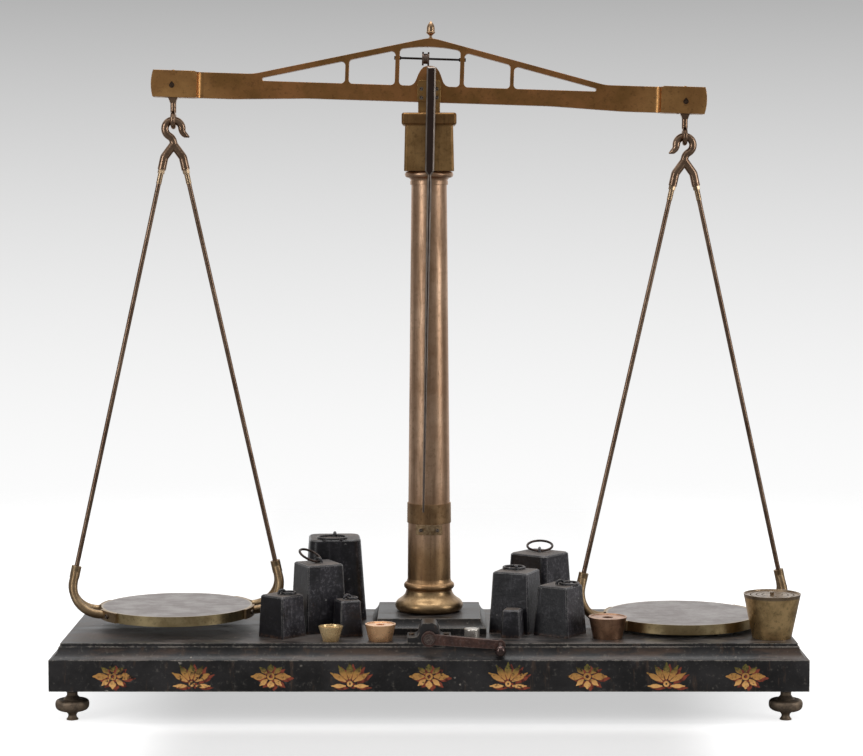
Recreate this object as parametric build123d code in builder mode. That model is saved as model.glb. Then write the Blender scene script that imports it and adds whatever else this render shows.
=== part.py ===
from build123d import *
import math
import os
from collections import namedtuple

# An equal-arm counter balance: a brass box-end beam on a turned column, two hanging pans, and its weights.
# Lengths are millimetres and angles degrees. The floor is z = 0, the column stands on the z axis,
# the beam lies along x and the front of the base faces -y.

# Clearances
SEAT = 0.3            # a moving piece above what it rests on
SNUG = 0.05           # a fixed round piece in its seat
RUNNING = 0.05        # a shaft or stud that turns or slides in its bore

# Base casting
BASE_W = 914.0
BASE_D = 276.0
BASE_Z = 39.0         # underside of the rim
FASCIA_TOP = 77.0
DECK_Z = 95.5
DECK_T = 8.0
BASE_WALL = 8.0
MOULD_IN = 12.6       # how far the deck's edge stands in from the fascia
LEDGE = 1.8
LEDGE_DROP = 4.0
COVE_SAG = 2.6
RIB_T = 6.0
RIB_PITCH = 0.175     # the ribs' spacing, as a part of the base's width
RIB_Z = 58.0
CAM_HOLE_R = 30.0

# Levelling feet
FOOT_IN_X = 24.7      # a foot's middle, in from the fascia
FOOT_IN_Y = 26.0
FOOT_BOSS_R = 14.0
FOOT_COLLAR_R = 10.5
FOOT_COLLAR_H = 4.5
STUD_R = 6.5
STUD_TOP = 74.0
DISC_R = 20.5
DISC_Z = 10.4
DISC_T = 14.8
TIP_R = 7.2
NECK_R = 5.0

# Plinth under the column
PLINTH_TOP_HALF = 63.5
PLINTH_FLARE = 7.0    # how far its foot stands out from its top
PLINTH_Z = 115.0
PLINTH_LIP = 104.0
PLINTH_FLOOR_T = 8.0
PLINTH_WALL = 9.5
PLINTH_ARCH_R = 13.0
ARCH_GAP = 2.4        # between the plinth's arch and the lever bracket
BOLT_XY = 25.0
BOLT_R = 3.0
BOLT_HEAD_R = 5.5
BOLT_HEAD_T = 4.0
BOLT_BOSS_R = 7.0
BOLT_IN_FOOT = 8.0

# Column
COLUMN_FOOT_R = 42.6
FOOT_TOP_Z = 141.0
GROOVE_R = 28.5
RING_R = 31.5
SHAFT_Z = 156.0
SHAFT_R = 26.9
NECK_Z = 647.0
SHAFT_TOP_R = 22.0
NECK_TORUS_R = 30.0
COLUMN_TOP_Z = 663.9
COLUMN_BORE_R = 15.0
CAM_ROOM_R = 23.0
CAM_ROOM_TOP = 124.0

# Index band and tab on the column
BAND_Z = 226.4
BAND_H = 24.6
BAND_T = 1.2
TAB_W = 33.0
TAB_H = 12.3
TAB_T = 2.2
TAB_GAP = 0.7
TAB_SCREW_X = 10.5

# Capital
CAPITAL_W = 61.5
CAPITAL_TOP_W = 59.0
CROWN_W = 67.3
CROWN_Z = 720.0
CAPITAL_TOP = 735.0
CAPITAL_CHAMFER = 2.5
CROWN_ROUND = 3.0

# Lift post, cheeks and bearings
POST_W = 26.9
POST_D = 36.0
POST_FLOOR = 747.4    # clears the beam's lower edge at both ends of its swing
TINE_TOP = 770.5
TINE_INNER = 8.5
SPIGOT_W = 20.0
SPIGOT_FIT = 0.1
SPIGOT_BOTTOM = 690.0
PUSH_ROD_R = 6.0
CHEEK_W = 29.0
CHEEK_BOTTOM = 749.3
CHEEK_TOP = 774.9
CHEEK_T = 3.0
CHEEK_ROUND = 4.0
CHEEK_SCREW_X = 9.4
CHEEK_SCREW_Z = (753.4, 764.2)
BEARING_W = 12.0
BEARING_Z = 754.0
BEARING_TOP = 766.5
BEARING_HALF_ANGLE = 60.0

# Beam, in its own frame: x along the beam, z up from the centre knife's edge
PIVOT_Z = 764.0
BEAM_TILT = 1.82      # at rest the right end hangs this much low
KNIFE_X = 316.4
BEAM_END_X = 342.3
BLOCK_IN_X = 286.0
BLOCK_TOP = 13.4
BLOCK_BOTTOM = -19.6
BLOCK_T = 30.0
BLOCK_BULGE = 2.4
BLOCK_CORNER = 4.5
WEB_T = 14.0
ARM_TOP = 12.4
ARM_BOTTOM = -19.3
CHORD_START_X = 217.0
APEX_Z = 63.8
APEX_ROUND = 40.0
BEND_ROUND = 60.0
CHORD_T = 7.0
LOWER_CHORD_TOP = 4.2
LOWER_CHORD_BOTTOM = -15.6
BELLY_IN_X = 150.0
BELLY_OUT_X = 240.0
BELLY_ROUND = 400.0
POST_IN_X = 40.0
POST_IN_W = 5.2
POST_OUT_X = 101.8
POST_OUT_W = 4.5
WINDOW_R = 5.0
WINDOW_TIP_R = 2.1
ARCH_SIDE_Z = 48.6
ARCH_TOP_Z = 52.4
HUB_TOP = 29.2
HUB_HALF = 8.0
HUB_WAIST = 14.0
HUB_WAIST_Z = 18.0
HUB_FLARE = 26.0
POCKET_X = 10.0
POCKET_Y = 8.0
POCKET_TOP = 8.6
NIB_R = 1.5
NIB_H = 1.3

# Knife edges: a teardrop section, its round back of this radius
END_KNIFE_R = 3.15
END_KNIFE_H = 8.1
CENTRE_KNIFE_R = 4.7
CENTRE_KNIFE_H = 12.1
CENTRE_KNIFE_LEN = 35.0

# Pointer, finial and balance nut
POINTER_Y = 34.6      # its back face clears the capital's crown
POINTER_T = 3.2
POINTER_W = 11.2
POINTER_BEVEL = 1.8
POINTER_TOP = 26.5
POINTER_FLAT_END = -100.4
POINTER_V = 9.0
NEEDLE_R = 2.9
NEEDLE_TIP_R = 1.2
NEEDLE_TIP_Z = -521.0
POINTER_SHIFT = 2.4
POINTER_LEAN = 0.78
STUD_PILLAR_R = 4.2
STUD_PILLAR_Z = 20.5
FINIAL_R = 5.3
FINIAL_H = 21.7
FINIAL_SPIGOT = 4.0
FINIAL_SPIGOT_R = 1.5
ROD_Z = 37.9
ROD_R = 1.35
ROD_COLLAR_R = 2.3
ROD_COLLAR_T = 1.6
NUT_X = -5.4
NUT_W = 9.0
NUT_GROOVE_R = 6.4

# Stirrups, measured down from the end knife's edge
STIRRUP_W = 14.4
STIRRUP_T = 10.0
STIRRUP_HEAD = 5.6
STIRRUP_HOLE_W = 9.2
STIRRUP_HOLE_BOTTOM = 12.0
STIRRUP_FLARE_END = 26.0
STIRRUP_SHANK_R = 3.7
EYE_DROP = 47.05
EYE_R = 8.6
EYE_WIRE_R = 3.1

# Hooks, rods and pans
HOOK_WIRE_R = 4.75
HOOK_R = 10.5
HOOK_FLARE_R = 9.0
HOOK_FLARE = 62.0
HOOK_TIP = 5.0
FORK_WIRE_R = 5.25
FORK_NECK_DROP = 77.6
FORK_KNEE_DROP = 93.0
FORK_END_DROP = 108.5
FORK_BEND = 8.0
ROD_TOP_SPREAD = 18.8
ROD_TOP_DROP = 126.0
ROD_BOTTOM_SPREAD = 124.0
HANGER_ROD_R = 2.9
FERRULE_R = 4.4
FERRULE_H = 4.8
SLEEVE_R = 3.4
SLEEVE_H = 12.4
ROD_IN_SOCKET = 12.0
SOCKET_RISE = 52.4
SOCKET_R = 6.1
SOCKET_H = 15.0
BOW_WIRE_R = 5.3
BOW_CORNER = 58.0
BOW_BEND = 35.0
BOW_PART = 1.3        # the two arms of a bow lie this far either side of its middle at the socket
BOW_SPREAD = 17.0     # and this far where they turn in under the pan's level
PAN_R = 94.0
PAN_H = 12.2
PAN_PLATE_T = 3.0
PAN_RIM_T = 3.2
ARM_ANGLE = 13.0      # where a bow's arm meets the rim, round from the bow's middle
LUG_FROM = 9.0
LUG_TO = 34.0
SCREW_ANGLE = 23.0
LUG_T = 3.2
PAN_SCREW_HEAD_R = 3.0
PAN_SCREW_HEAD_T = 1.7
PAN_SCREW_R = 1.5
LEFT_DROP = 652.0     # from the end knife's edge to the top of the pan
RIGHT_DROP = 642.0
LEFT_YAW = 11.0       # how far each hanger stands turned about its own axis
RIGHT_YAW = 6.5

# Lift lever and its cam
LEVER_Z = 101.5
LEVER_SHAFT_R = 5.0
LEVER_GAP = 0.4
LEVER_T = 5.0
LEVER_HUB_T = 7.4
LEVER_LEN = 86.0
LEVER_SLOPE = 4.6
LEVER_HUB_R = 9.2
LEVER_END_R = 6.2
LEVER_ROOT_HALF = 6.3
LEVER_TIP_HALF = 5.1
LEVER_SCREW_R = 4.0
LEVER_SCREW_T = 2.2
KNOB_R = 6.8
KNOB_DROP = 6.0
KNOB_REACH = 5.4
KNOB_NECK_R = 3.4
CAM_LOW_R = 9.5
CAM_LIFT = 6.0
CAM_TURN = 80.0
CAM_T = 10.0
BRACKET_D = 35.0
BRACKET_W = 53.2
BRACKET_FOOT_T = 7.5
BRACKET_TOP = 120.0
BRACKET_WAIST = 14.0
BRACKET_CROWN = 8.8
BRACKET_SCREW_X = 21.3

os.makedirs("parts", exist_ok=True)


def save(piece, name):
    piece.part.label = name
    export_step(piece.part, f"parts/{name}.step")


def bend(start, corner, end, radius):
    """Where an arc that rounds a corner in space begins, passes and ends."""
    corner = Vector(corner)
    back = (Vector(start) - corner).normalized()
    ahead = (Vector(end) - corner).normalized()
    half = math.radians(back.get_angle(ahead) / 2)
    reach = radius / math.tan(half)
    middle = corner + (back + ahead).normalized() * (radius / math.sin(half) - radius)
    return [tuple(corner + back * reach), tuple(middle), tuple(corner + ahead * reach)]


def within(frame, local):
    """The plane that lies in a frame as the given plane lies in the world."""
    return Plane(frame.location * local.location)


def along(start, direction):
    """A plane at start that faces along a direction."""
    return Plane(origin=start, z_dir=direction)


def screw(plane, head_r, head_t, shank_r, shank_len, slot=0.8, slot_turn=0.0):
    """A slotted cheese-head screw whose head stands on the plane."""
    with BuildPart() as body:
        with BuildSketch(plane):
            Circle(head_r)
        extrude(amount=head_t)
        with BuildSketch(plane):
            Circle(shank_r)
        extrude(amount=-shank_len)
        with BuildSketch(plane.offset(head_t)):
            Rectangle(2.2 * head_r, slot, rotation=slot_turn)
        extrude(amount=-head_t / 2, mode=Mode.SUBTRACT)
    return body.part


def shaft_radius(z):
    """The tapered column's radius at a height."""
    return SHAFT_R + (SHAFT_TOP_R - SHAFT_R) * (z - SHAFT_Z) / (NECK_Z - SHAFT_Z)


# Base casting: a hollow iron box with one moulding on all four sides, made where two bars of it cross
cove_foot_z = FASCIA_TOP
cove_head_z = DECK_Z - LEDGE_DROP
cove_in = MOULD_IN - LEDGE


def base_section(half):
    """The right half of the base's section, from its middle round to its middle."""
    cove_len = math.hypot(cove_in, cove_head_z - cove_foot_z)
    sag_x = half - cove_in / 2 - COVE_SAG * (cove_head_z - cove_foot_z) / cove_len
    sag_z = (cove_foot_z + cove_head_z) / 2 - COVE_SAG * cove_in / cove_len
    Polyline((0, BASE_Z), (half, BASE_Z), (half, cove_foot_z))
    ThreePointArc((half, cove_foot_z), (sag_x, sag_z), (half - cove_in, cove_head_z))
    Polyline((half - cove_in, cove_head_z), (half - MOULD_IN, cove_head_z), (half - MOULD_IN, DECK_Z), (0, DECK_Z))


foot_x = BASE_W / 2 - FOOT_IN_X
foot_y = BASE_D / 2 - FOOT_IN_Y
deck_front = BASE_D / 2 - MOULD_IN
foot_places = [(x, y) for x in (-foot_x, foot_x) for y in (-foot_y, foot_y)]
rib_places = [(BASE_W * RIB_PITCH * step, 0) for step in (-2, -1, 1, 2)]
bolt_places = [(x, y) for x in (-BOLT_XY, BOLT_XY) for y in (-BOLT_XY, BOLT_XY)]
cavity_top = DECK_Z - DECK_T
with BuildPart() as base_casting:
    with BuildSketch(Plane.XZ):
        with BuildLine():
            base_section(BASE_W / 2)
            mirror(about=Plane.YZ)
        make_face()
    extrude(amount=BASE_D / 2, both=True)
    with BuildSketch(Plane.YZ):
        with BuildLine():
            base_section(BASE_D / 2)
            mirror(about=Plane.YZ)
        make_face()
    extrude(amount=BASE_W / 2, both=True, mode=Mode.INTERSECT)
    with BuildSketch(Plane.XY.offset(BASE_Z)):
        Rectangle(BASE_W - 2 * BASE_WALL, BASE_D - 2 * BASE_WALL)
    extrude(amount=FASCIA_TOP - BASE_Z - BASE_WALL, mode=Mode.SUBTRACT)
    with BuildSketch(Plane.XY.offset(BASE_Z)):
        Rectangle(BASE_W - 2 * BASE_WALL - 2 * MOULD_IN, BASE_D - 2 * BASE_WALL - 2 * MOULD_IN)
    extrude(amount=cavity_top - BASE_Z, mode=Mode.SUBTRACT)
    with BuildSketch(Plane.XY.offset(RIB_Z)):
        with Locations(*rib_places):
            Rectangle(RIB_T, BASE_D - BASE_WALL)
    extrude(amount=FASCIA_TOP - BASE_WALL - RIB_Z)
    with BuildSketch(Plane.XY.offset(RIB_Z)):
        with Locations(*rib_places):
            Rectangle(RIB_T, BASE_D - BASE_WALL - 2 * MOULD_IN)
    extrude(amount=DECK_Z - RIB_Z - DECK_T / 2)
    with BuildSketch(Plane.XY.offset(BASE_Z)):
        with Locations(*foot_places):
            Circle(FOOT_BOSS_R)
    extrude(amount=DECK_Z - BASE_Z - DECK_T / 2)
    with BuildSketch(Plane.XY.offset(BASE_Z)):
        with Locations(*foot_places):
            Circle(FOOT_COLLAR_R)
    extrude(amount=-FOOT_COLLAR_H, taper=30)
    with BuildSketch(Plane.XY.offset(BASE_Z - FOOT_COLLAR_H)):
        with Locations(*foot_places):
            Circle(STUD_R + RUNNING)
    extrude(amount=STUD_TOP + 2 - BASE_Z + FOOT_COLLAR_H, mode=Mode.SUBTRACT)
    with BuildSketch(Plane.XY.offset(DECK_Z)):
        Circle(CAM_HOLE_R)
        with Locations(*bolt_places):
            Circle(BOLT_R + SNUG)
    extrude(amount=-2 * DECK_T, mode=Mode.SUBTRACT)
save(base_casting, "base_casting")


# Levelling feet: a stud, a knurled disc and a flared tip turned in one
def levelling_foot(x, y):
    disc_top = DISC_Z + DISC_T
    with BuildPart() as foot:
        with BuildSketch(Plane.XZ.offset(-y)):
            with BuildLine():
                Polyline((x, STUD_TOP), (x + STUD_R, STUD_TOP), (x + STUD_R, disc_top + 5))
                Polyline((x + STUD_R, disc_top + 5), (x + STUD_R + 4, disc_top), (x + DISC_R - 5, disc_top))
                Spline(
                    (x + DISC_R - 5, disc_top),
                    (x + DISC_R, disc_top - 6),
                    (x + TIP_R + 2, DISC_Z),
                    tangents=((1, -0.1), (-1, -0.1)),
                )
                Spline((x + TIP_R + 2, DISC_Z), (x + NECK_R, DISC_Z / 2), (x + TIP_R, 1.2))
                Polyline((x + TIP_R, 1.2), (x + TIP_R, 0), (x, 0), (x, STUD_TOP))
            make_face()
        revolve(axis=Axis((x, y, 0), (0, 0, 1)))
    return foot


for x, side in ((-foot_x, "left"), (foot_x, "right")):
    for y, end in ((-foot_y, "front"), (foot_y, "rear")):
        save(levelling_foot(x, y), f"levelling_foot_{end}_{side}")

# Plinth: a flared iron square, hollow below, with an arched boss at the front for the cam shaft
plinth_half = PLINTH_TOP_HALF + PLINTH_FLARE
plinth_cavity_half = PLINTH_TOP_HALF - PLINTH_WALL
plinth_arch_y = deck_front - BRACKET_D - ARCH_GAP
with BuildPart() as column_plinth:
    for plane in (Plane.XZ, Plane.YZ):
        with BuildSketch(plane):
            with BuildLine():
                Polyline((0, DECK_Z), (plinth_half, DECK_Z), (plinth_half, PLINTH_LIP))
                ThreePointArc(
                    (plinth_half, PLINTH_LIP),
                    ((plinth_half + PLINTH_TOP_HALF) / 2 - 1.2, (PLINTH_LIP + PLINTH_Z) / 2 - 0.8),
                    (PLINTH_TOP_HALF, PLINTH_Z),
                )
                Line((PLINTH_TOP_HALF, PLINTH_Z), (0, PLINTH_Z))
                mirror(about=Plane.YZ)
            make_face()
        first = plane == Plane.XZ
        extrude(amount=plinth_half, both=True, mode=Mode.ADD if first else Mode.INTERSECT)
    with BuildSketch(Plane.XZ.offset(PLINTH_TOP_HALF)):
        with Locations((0, LEVER_Z)):
            Circle(PLINTH_ARCH_R)
        with Locations((0, DECK_Z)):
            Rectangle(4 * PLINTH_ARCH_R, 2 * PLINTH_ARCH_R, align=(Align.CENTER, Align.MAX), mode=Mode.SUBTRACT)
    extrude(amount=plinth_arch_y - PLINTH_TOP_HALF)
    with BuildSketch(Plane.XY.offset(DECK_Z)):
        Rectangle(2 * plinth_cavity_half, 2 * plinth_cavity_half)
        with Locations(*bolt_places):
            Circle(BOLT_BOSS_R, mode=Mode.SUBTRACT)
    extrude(amount=PLINTH_Z - PLINTH_FLOOR_T - DECK_Z, mode=Mode.SUBTRACT)
    with BuildSketch(Plane.XY.offset(DECK_Z)):
        Circle(CAM_ROOM_R)
        with Locations(*bolt_places):
            Circle(BOLT_R + SNUG)
    extrude(amount=PLINTH_Z - DECK_Z, mode=Mode.SUBTRACT)
    with BuildSketch(Plane.XZ.offset(plinth_arch_y)):
        with Locations((0, LEVER_Z)):
            Circle(LEVER_SHAFT_R + RUNNING)
    extrude(amount=-plinth_arch_y - (plinth_half + plinth_cavity_half) / 2, mode=Mode.SUBTRACT)
save(column_plinth, "column_plinth")

with BuildPart() as column_bolts:
    for place in bolt_places:
        with BuildSketch(Plane.XY.offset(cavity_top)):
            with Locations(place):
                RegularPolygon(BOLT_HEAD_R, 6)
        extrude(amount=-BOLT_HEAD_T)
        with BuildSketch(Plane.XY.offset(cavity_top)):
            with Locations(place):
                Circle(BOLT_R)
        extrude(amount=PLINTH_Z + BOLT_IN_FOOT - cavity_top)
save(column_bolts, "column_bolts")

# Column foot: an ogee flange, with room for the cam and a guide for the push rod
spigot_top = FOOT_TOP_Z + 9
with BuildPart() as column_foot:
    with BuildSketch(Plane.XZ):
        with BuildLine():
            Line((0, PLINTH_Z), (COLUMN_FOOT_R - 6, PLINTH_Z))
            ThreePointArc(
                (COLUMN_FOOT_R - 6, PLINTH_Z),
                (COLUMN_FOOT_R - 0.8, PLINTH_Z + 4.5),
                (COLUMN_FOOT_R - 1.6, PLINTH_Z + 11.5),
            )
            Spline(
                (COLUMN_FOOT_R - 1.6, PLINTH_Z + 11.5),
                (GROOVE_R + 6.5, FOOT_TOP_Z - 9.5),
                (GROOVE_R, FOOT_TOP_Z),
                tangents=((-0.55, 0.85), (-0.2, 1.0)),
            )
            Polyline((GROOVE_R, FOOT_TOP_Z), (COLUMN_BORE_R - SNUG, FOOT_TOP_Z), (COLUMN_BORE_R - SNUG, spigot_top))
            Polyline((COLUMN_BORE_R - SNUG, spigot_top), (0, spigot_top), (0, PLINTH_Z))
        make_face()
    revolve(axis=Axis.Z)
    with BuildSketch(Plane.XY.offset(PLINTH_Z)):
        Circle(CAM_ROOM_R)
    extrude(amount=CAM_ROOM_TOP - PLINTH_Z, mode=Mode.SUBTRACT)
    with BuildSketch(Plane.XY.offset(PLINTH_Z)):
        Circle(PUSH_ROD_R + RUNNING)
    extrude(amount=spigot_top - PLINTH_Z, mode=Mode.SUBTRACT)
    with BuildSketch(Plane.XY.offset(PLINTH_Z)):
        with Locations(*bolt_places):
            Circle(BOLT_R + SNUG)
    extrude(amount=BOLT_IN_FOOT + SEAT, mode=Mode.SUBTRACT)
save(column_foot, "column_foot")

# Column shaft: a tapered tube with a ring at its foot and a torus at its neck
with BuildPart() as column_shaft:
    with BuildSketch(Plane.XZ):
        with BuildLine():
            Polyline((COLUMN_BORE_R, FOOT_TOP_Z), (GROOVE_R, FOOT_TOP_Z), (GROOVE_R, FOOT_TOP_Z + 1.6))
            ThreePointArc((GROOVE_R, FOOT_TOP_Z + 1.6), (RING_R, FOOT_TOP_Z + 6), (GROOVE_R, FOOT_TOP_Z + 10.4))
            ThreePointArc((GROOVE_R, FOOT_TOP_Z + 10.4), (SHAFT_R + 0.7, SHAFT_Z - 2.8), (SHAFT_R, SHAFT_Z))
            Polyline((SHAFT_R, SHAFT_Z), (SHAFT_TOP_R, NECK_Z), (SHAFT_TOP_R + 1.4, NECK_Z))
            Polyline((SHAFT_TOP_R + 1.4, NECK_Z), (SHAFT_TOP_R + 1.4, NECK_Z + 4.6), (SHAFT_TOP_R + 0.8, NECK_Z + 4.6))
            ThreePointArc(
                (SHAFT_TOP_R + 0.8, NECK_Z + 4.6),
                (SHAFT_TOP_R + 1.9, NECK_Z + 7.4),
                (NECK_TORUS_R - 3.2, NECK_Z + 8.8),
            )
            ThreePointArc(
                (NECK_TORUS_R - 3.2, NECK_Z + 8.8),
                (NECK_TORUS_R, NECK_Z + 12.6),
                (NECK_TORUS_R - 3.2, NECK_Z + 16.4),
            )
            Polyline((NECK_TORUS_R - 3.2, NECK_Z + 16.4), (NECK_TORUS_R - 3.2, COLUMN_TOP_Z))
            Polyline((NECK_TORUS_R - 3.2, COLUMN_TOP_Z), (COLUMN_BORE_R, COLUMN_TOP_Z), (COLUMN_BORE_R, FOOT_TOP_Z))
        make_face()
    revolve(axis=Axis.Z)
save(column_shaft, "column_shaft")

# Index band, with its centre mark cut in, and the small tab below it
with BuildPart() as index_band:
    with BuildSketch(Plane.XZ):
        with BuildLine():
            band_in = [(shaft_radius(z) + SNUG, z) for z in (BAND_Z, BAND_Z + BAND_H)]
            band_out = [(radius + BAND_T, z) for radius, z in band_in]
            Polyline(band_in[0], band_out[0], band_out[1], band_in[1], band_in[0])
        make_face()
    revolve(axis=Axis.Z)
    with BuildSketch(Plane.XZ.offset(shaft_radius(BAND_Z) + BAND_T / 2 + SNUG)):
        with Locations((0, BAND_Z + BAND_H / 2)):
            Rectangle(1.0, BAND_H - 10)
    extrude(amount=BAND_T, mode=Mode.SUBTRACT)
save(index_band, "index_band")

tab_top = BAND_Z - TAB_GAP
tab_mid = tab_top - TAB_H / 2
tab_face = shaft_radius(tab_mid) + SNUG + TAB_T
with BuildPart() as index_tab:
    with BuildSketch(Plane.XZ):
        with BuildLine():
            tab_in = [(shaft_radius(z) + SNUG, z) for z in (tab_top - TAB_H, tab_top)]
            tab_out = [(radius + TAB_T, z) for radius, z in tab_in]
            Polyline(tab_in[0], tab_out[0], tab_out[1], tab_in[1], tab_in[0])
        make_face()
    revolve(axis=Axis.Z)
    with BuildSketch(Plane.XY.offset(tab_top - TAB_H)):
        Rectangle(TAB_W, 2 * SHAFT_R, align=(Align.CENTER, Align.MAX))
    extrude(amount=TAB_H, mode=Mode.INTERSECT)
    for side in (-1, 1):
        with BuildSketch(Plane.XZ.offset(tab_face)):
            with Locations((side * TAB_SCREW_X, tab_mid)):
                Circle(1.2 + SNUG)
        extrude(amount=-3 * TAB_T, mode=Mode.SUBTRACT)
save(index_tab, "index_tab")

# Capital: a square brass block with a heavier crown, bored square for the lift post
with BuildPart() as capital:
    with BuildSketch(Plane.XY.offset(COLUMN_TOP_Z)) as capital_foot:
        Rectangle(CAPITAL_W, CAPITAL_W)
        chamfer(capital_foot.vertices(), CAPITAL_CHAMFER)
    with BuildSketch(Plane.XY.offset(CROWN_Z)) as capital_head:
        Rectangle(CAPITAL_TOP_W, CAPITAL_TOP_W)
        chamfer(capital_head.vertices(), CAPITAL_CHAMFER)
    loft()
    with BuildSketch(Plane.XY.offset(CROWN_Z)) as crown_foot:
        Rectangle(CROWN_W, CROWN_W)
        chamfer(crown_foot.vertices(), CAPITAL_CHAMFER)
    extrude(amount=CAPITAL_TOP - CROWN_Z)
    fillet(capital.faces().sort_by(Axis.Z)[-1].edges(), CROWN_ROUND)
    crown_under = capital.edges().filter_by_position(Axis.Z, CROWN_Z - 0.01, CROWN_Z + 0.01)
    chamfer([e for e in crown_under if e.center().length > 0 and max(abs(e.center().X), abs(e.center().Y)) > CROWN_W / 2 - 3], 2.0)
    with BuildSketch(Plane.XY.offset(COLUMN_TOP_Z)):
        Rectangle(SPIGOT_W + 2 * SPIGOT_FIT, SPIGOT_W + 2 * SPIGOT_FIT)
    extrude(amount=CAPITAL_TOP - COLUMN_TOP_Z, mode=Mode.SUBTRACT)
save(capital, "capital")

# Lift post: a forked block on a square spigot, with a push rod down to the cam
post_bottom = CAPITAL_TOP + SEAT
rod_tip = LEVER_Z + CAM_LOW_R + SEAT
with BuildPart() as lift_post:
    with BuildSketch(Plane.XY.offset(post_bottom)):
        Rectangle(POST_W, POST_D)
    extrude(amount=TINE_TOP - post_bottom)
    with BuildSketch(Plane.XZ.offset(-TINE_INNER)):
        with Locations((0, POST_FLOOR)):
            Rectangle(2 * POST_W, TINE_TOP, align=(Align.CENTER, Align.MIN))
    extrude(amount=2 * TINE_INNER, mode=Mode.SUBTRACT)
    with BuildSketch(Plane.XZ.offset(-POST_D / 2)):
        with Locations((0, BEARING_Z)):
            Rectangle(BEARING_W + 2 * SNUG, TINE_TOP, align=(Align.CENTER, Align.MIN))
    extrude(amount=POST_D, mode=Mode.SUBTRACT)
    with BuildSketch(Plane.XY.offset(SPIGOT_BOTTOM)):
        Rectangle(SPIGOT_W, SPIGOT_W)
    extrude(amount=post_bottom - SPIGOT_BOTTOM)
    with BuildSketch(Plane.XY.offset(rod_tip)):
        Circle(PUSH_ROD_R)
    extrude(amount=SPIGOT_BOTTOM - rod_tip)
    chisel_rise = PUSH_ROD_R / math.tan(math.radians(35))
    for side in (-1, 1):
        with BuildSketch(Plane.XZ.offset(-PUSH_ROD_R)):
            with BuildLine():
                Polyline(
                    (side * 0.3, rod_tip),
                    (side * (PUSH_ROD_R + 0.3), rod_tip + chisel_rise),
                    (side * (PUSH_ROD_R + 2), rod_tip - 1),
                    (side * 0.3, rod_tip - 1),
                    (side * 0.3, rod_tip),
                )
            make_face()
        extrude(amount=2 * PUSH_ROD_R, mode=Mode.SUBTRACT)
    for x in (-CHEEK_SCREW_X, CHEEK_SCREW_X):
        for z in CHEEK_SCREW_Z:
            with BuildSketch(Plane.XZ.offset(POST_D / 2)):
                with Locations((x, z)):
                    Circle(1.2 + SNUG)
            extrude(amount=-POST_D, mode=Mode.SUBTRACT)
save(lift_post, "lift_post")


# Knife bearings: hard steel blocks, each with a V along y under the centre knife
v_depth = BEARING_TOP - PIVOT_Z + 0.1
with BuildPart() as knife_bearings:
    for y in (-POST_D / 2, TINE_INNER):
        with BuildSketch(Plane.XZ.offset(-y)):
            with Locations((0, BEARING_Z)):
                Rectangle(BEARING_W, BEARING_TOP - BEARING_Z, align=(Align.CENTER, Align.MIN))
            with BuildLine():
                v_half = v_depth * math.tan(math.radians(BEARING_HALF_ANGLE))
                Polyline(
                    (-v_half, BEARING_TOP),
                    (0, BEARING_TOP - v_depth),
                    (v_half, BEARING_TOP),
                    (-v_half, BEARING_TOP),
                )
            make_face(mode=Mode.SUBTRACT)
        extrude(amount=-(POST_D / 2 - TINE_INNER))
save(knife_bearings, "knife_bearings")


def cheek(back):
    """One cheek plate on the lift post's front or back, its inner face on the post."""
    outward = 1 if back else -1
    face = Plane(origin=(0, outward * POST_D / 2, 0), x_dir=(1, 0, 0), z_dir=(0, outward, 0))
    flip = -1 if back else 1
    with BuildPart() as plate:
        with BuildSketch(face) as outline:
            with Locations((0, flip * (CHEEK_BOTTOM + CHEEK_TOP) / 2)):
                Rectangle(CHEEK_W, CHEEK_TOP - CHEEK_BOTTOM)
            top_pair = outline.vertices().group_by(Axis.Y)[-1 if flip > 0 else 0]
            fillet(top_pair, CHEEK_ROUND)
            with Locations(*[(x, flip * z) for x in (-CHEEK_SCREW_X, CHEEK_SCREW_X) for z in CHEEK_SCREW_Z]):
                Circle(1.2 + SNUG, mode=Mode.SUBTRACT)
        extrude(amount=CHEEK_T)
    return plate


save(cheek(back=False), "front_cheek")
save(cheek(back=True), "rear_cheek")

cheek_face_y = POST_D / 2 + CHEEK_T
cheek_screw_set = [
    screw(along((x, outward * cheek_face_y, z), (0, outward, 0)), 2.3, 1.1, 1.2, 8.0, 0.7, 25 * x + z)
    for outward in (-1, 1)
    for x in (-CHEEK_SCREW_X, CHEEK_SCREW_X)
    for z in CHEEK_SCREW_Z
]
with BuildPart() as cheek_screws:
    add(cheek_screw_set)
save(cheek_screws, "cheek_screws")

# Beam
tilt = math.radians(BEAM_TILT)
beam_frame = Plane(
    origin=(0, 0, PIVOT_Z),
    x_dir=(math.cos(tilt), 0, -math.sin(tilt)),
    z_dir=(math.sin(tilt), 0, math.cos(tilt)),
)
beam_face = within(beam_frame, Plane.XZ)
chord_slope = (APEX_Z - ARM_TOP) / CHORD_START_X


def chord_top(x):
    return APEX_Z - chord_slope * abs(x)


def chord_under(x):
    return chord_top(x) - CHORD_T


def teardrop(radius, height, up, grow=0.0):
    """A knife's section: an edge at the origin and a round back, above it or below."""
    back = height - radius
    touch = math.acos(radius / back)
    rim = ((radius + grow) * math.sin(touch), back - (radius + grow) * math.cos(touch))
    edge = -grow * back / radius
    sign = -1 if up else 1
    with BuildSketch() as section:
        with BuildLine():
            Line((0, sign * edge), (rim[0], sign * rim[1]))
            ThreePointArc((rim[0], sign * rim[1]), (0, sign * (height + grow)), (-rim[0], sign * rim[1]))
            Line((-rim[0], sign * rim[1]), (0, sign * edge))
        make_face()
    return section.sketch


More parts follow.
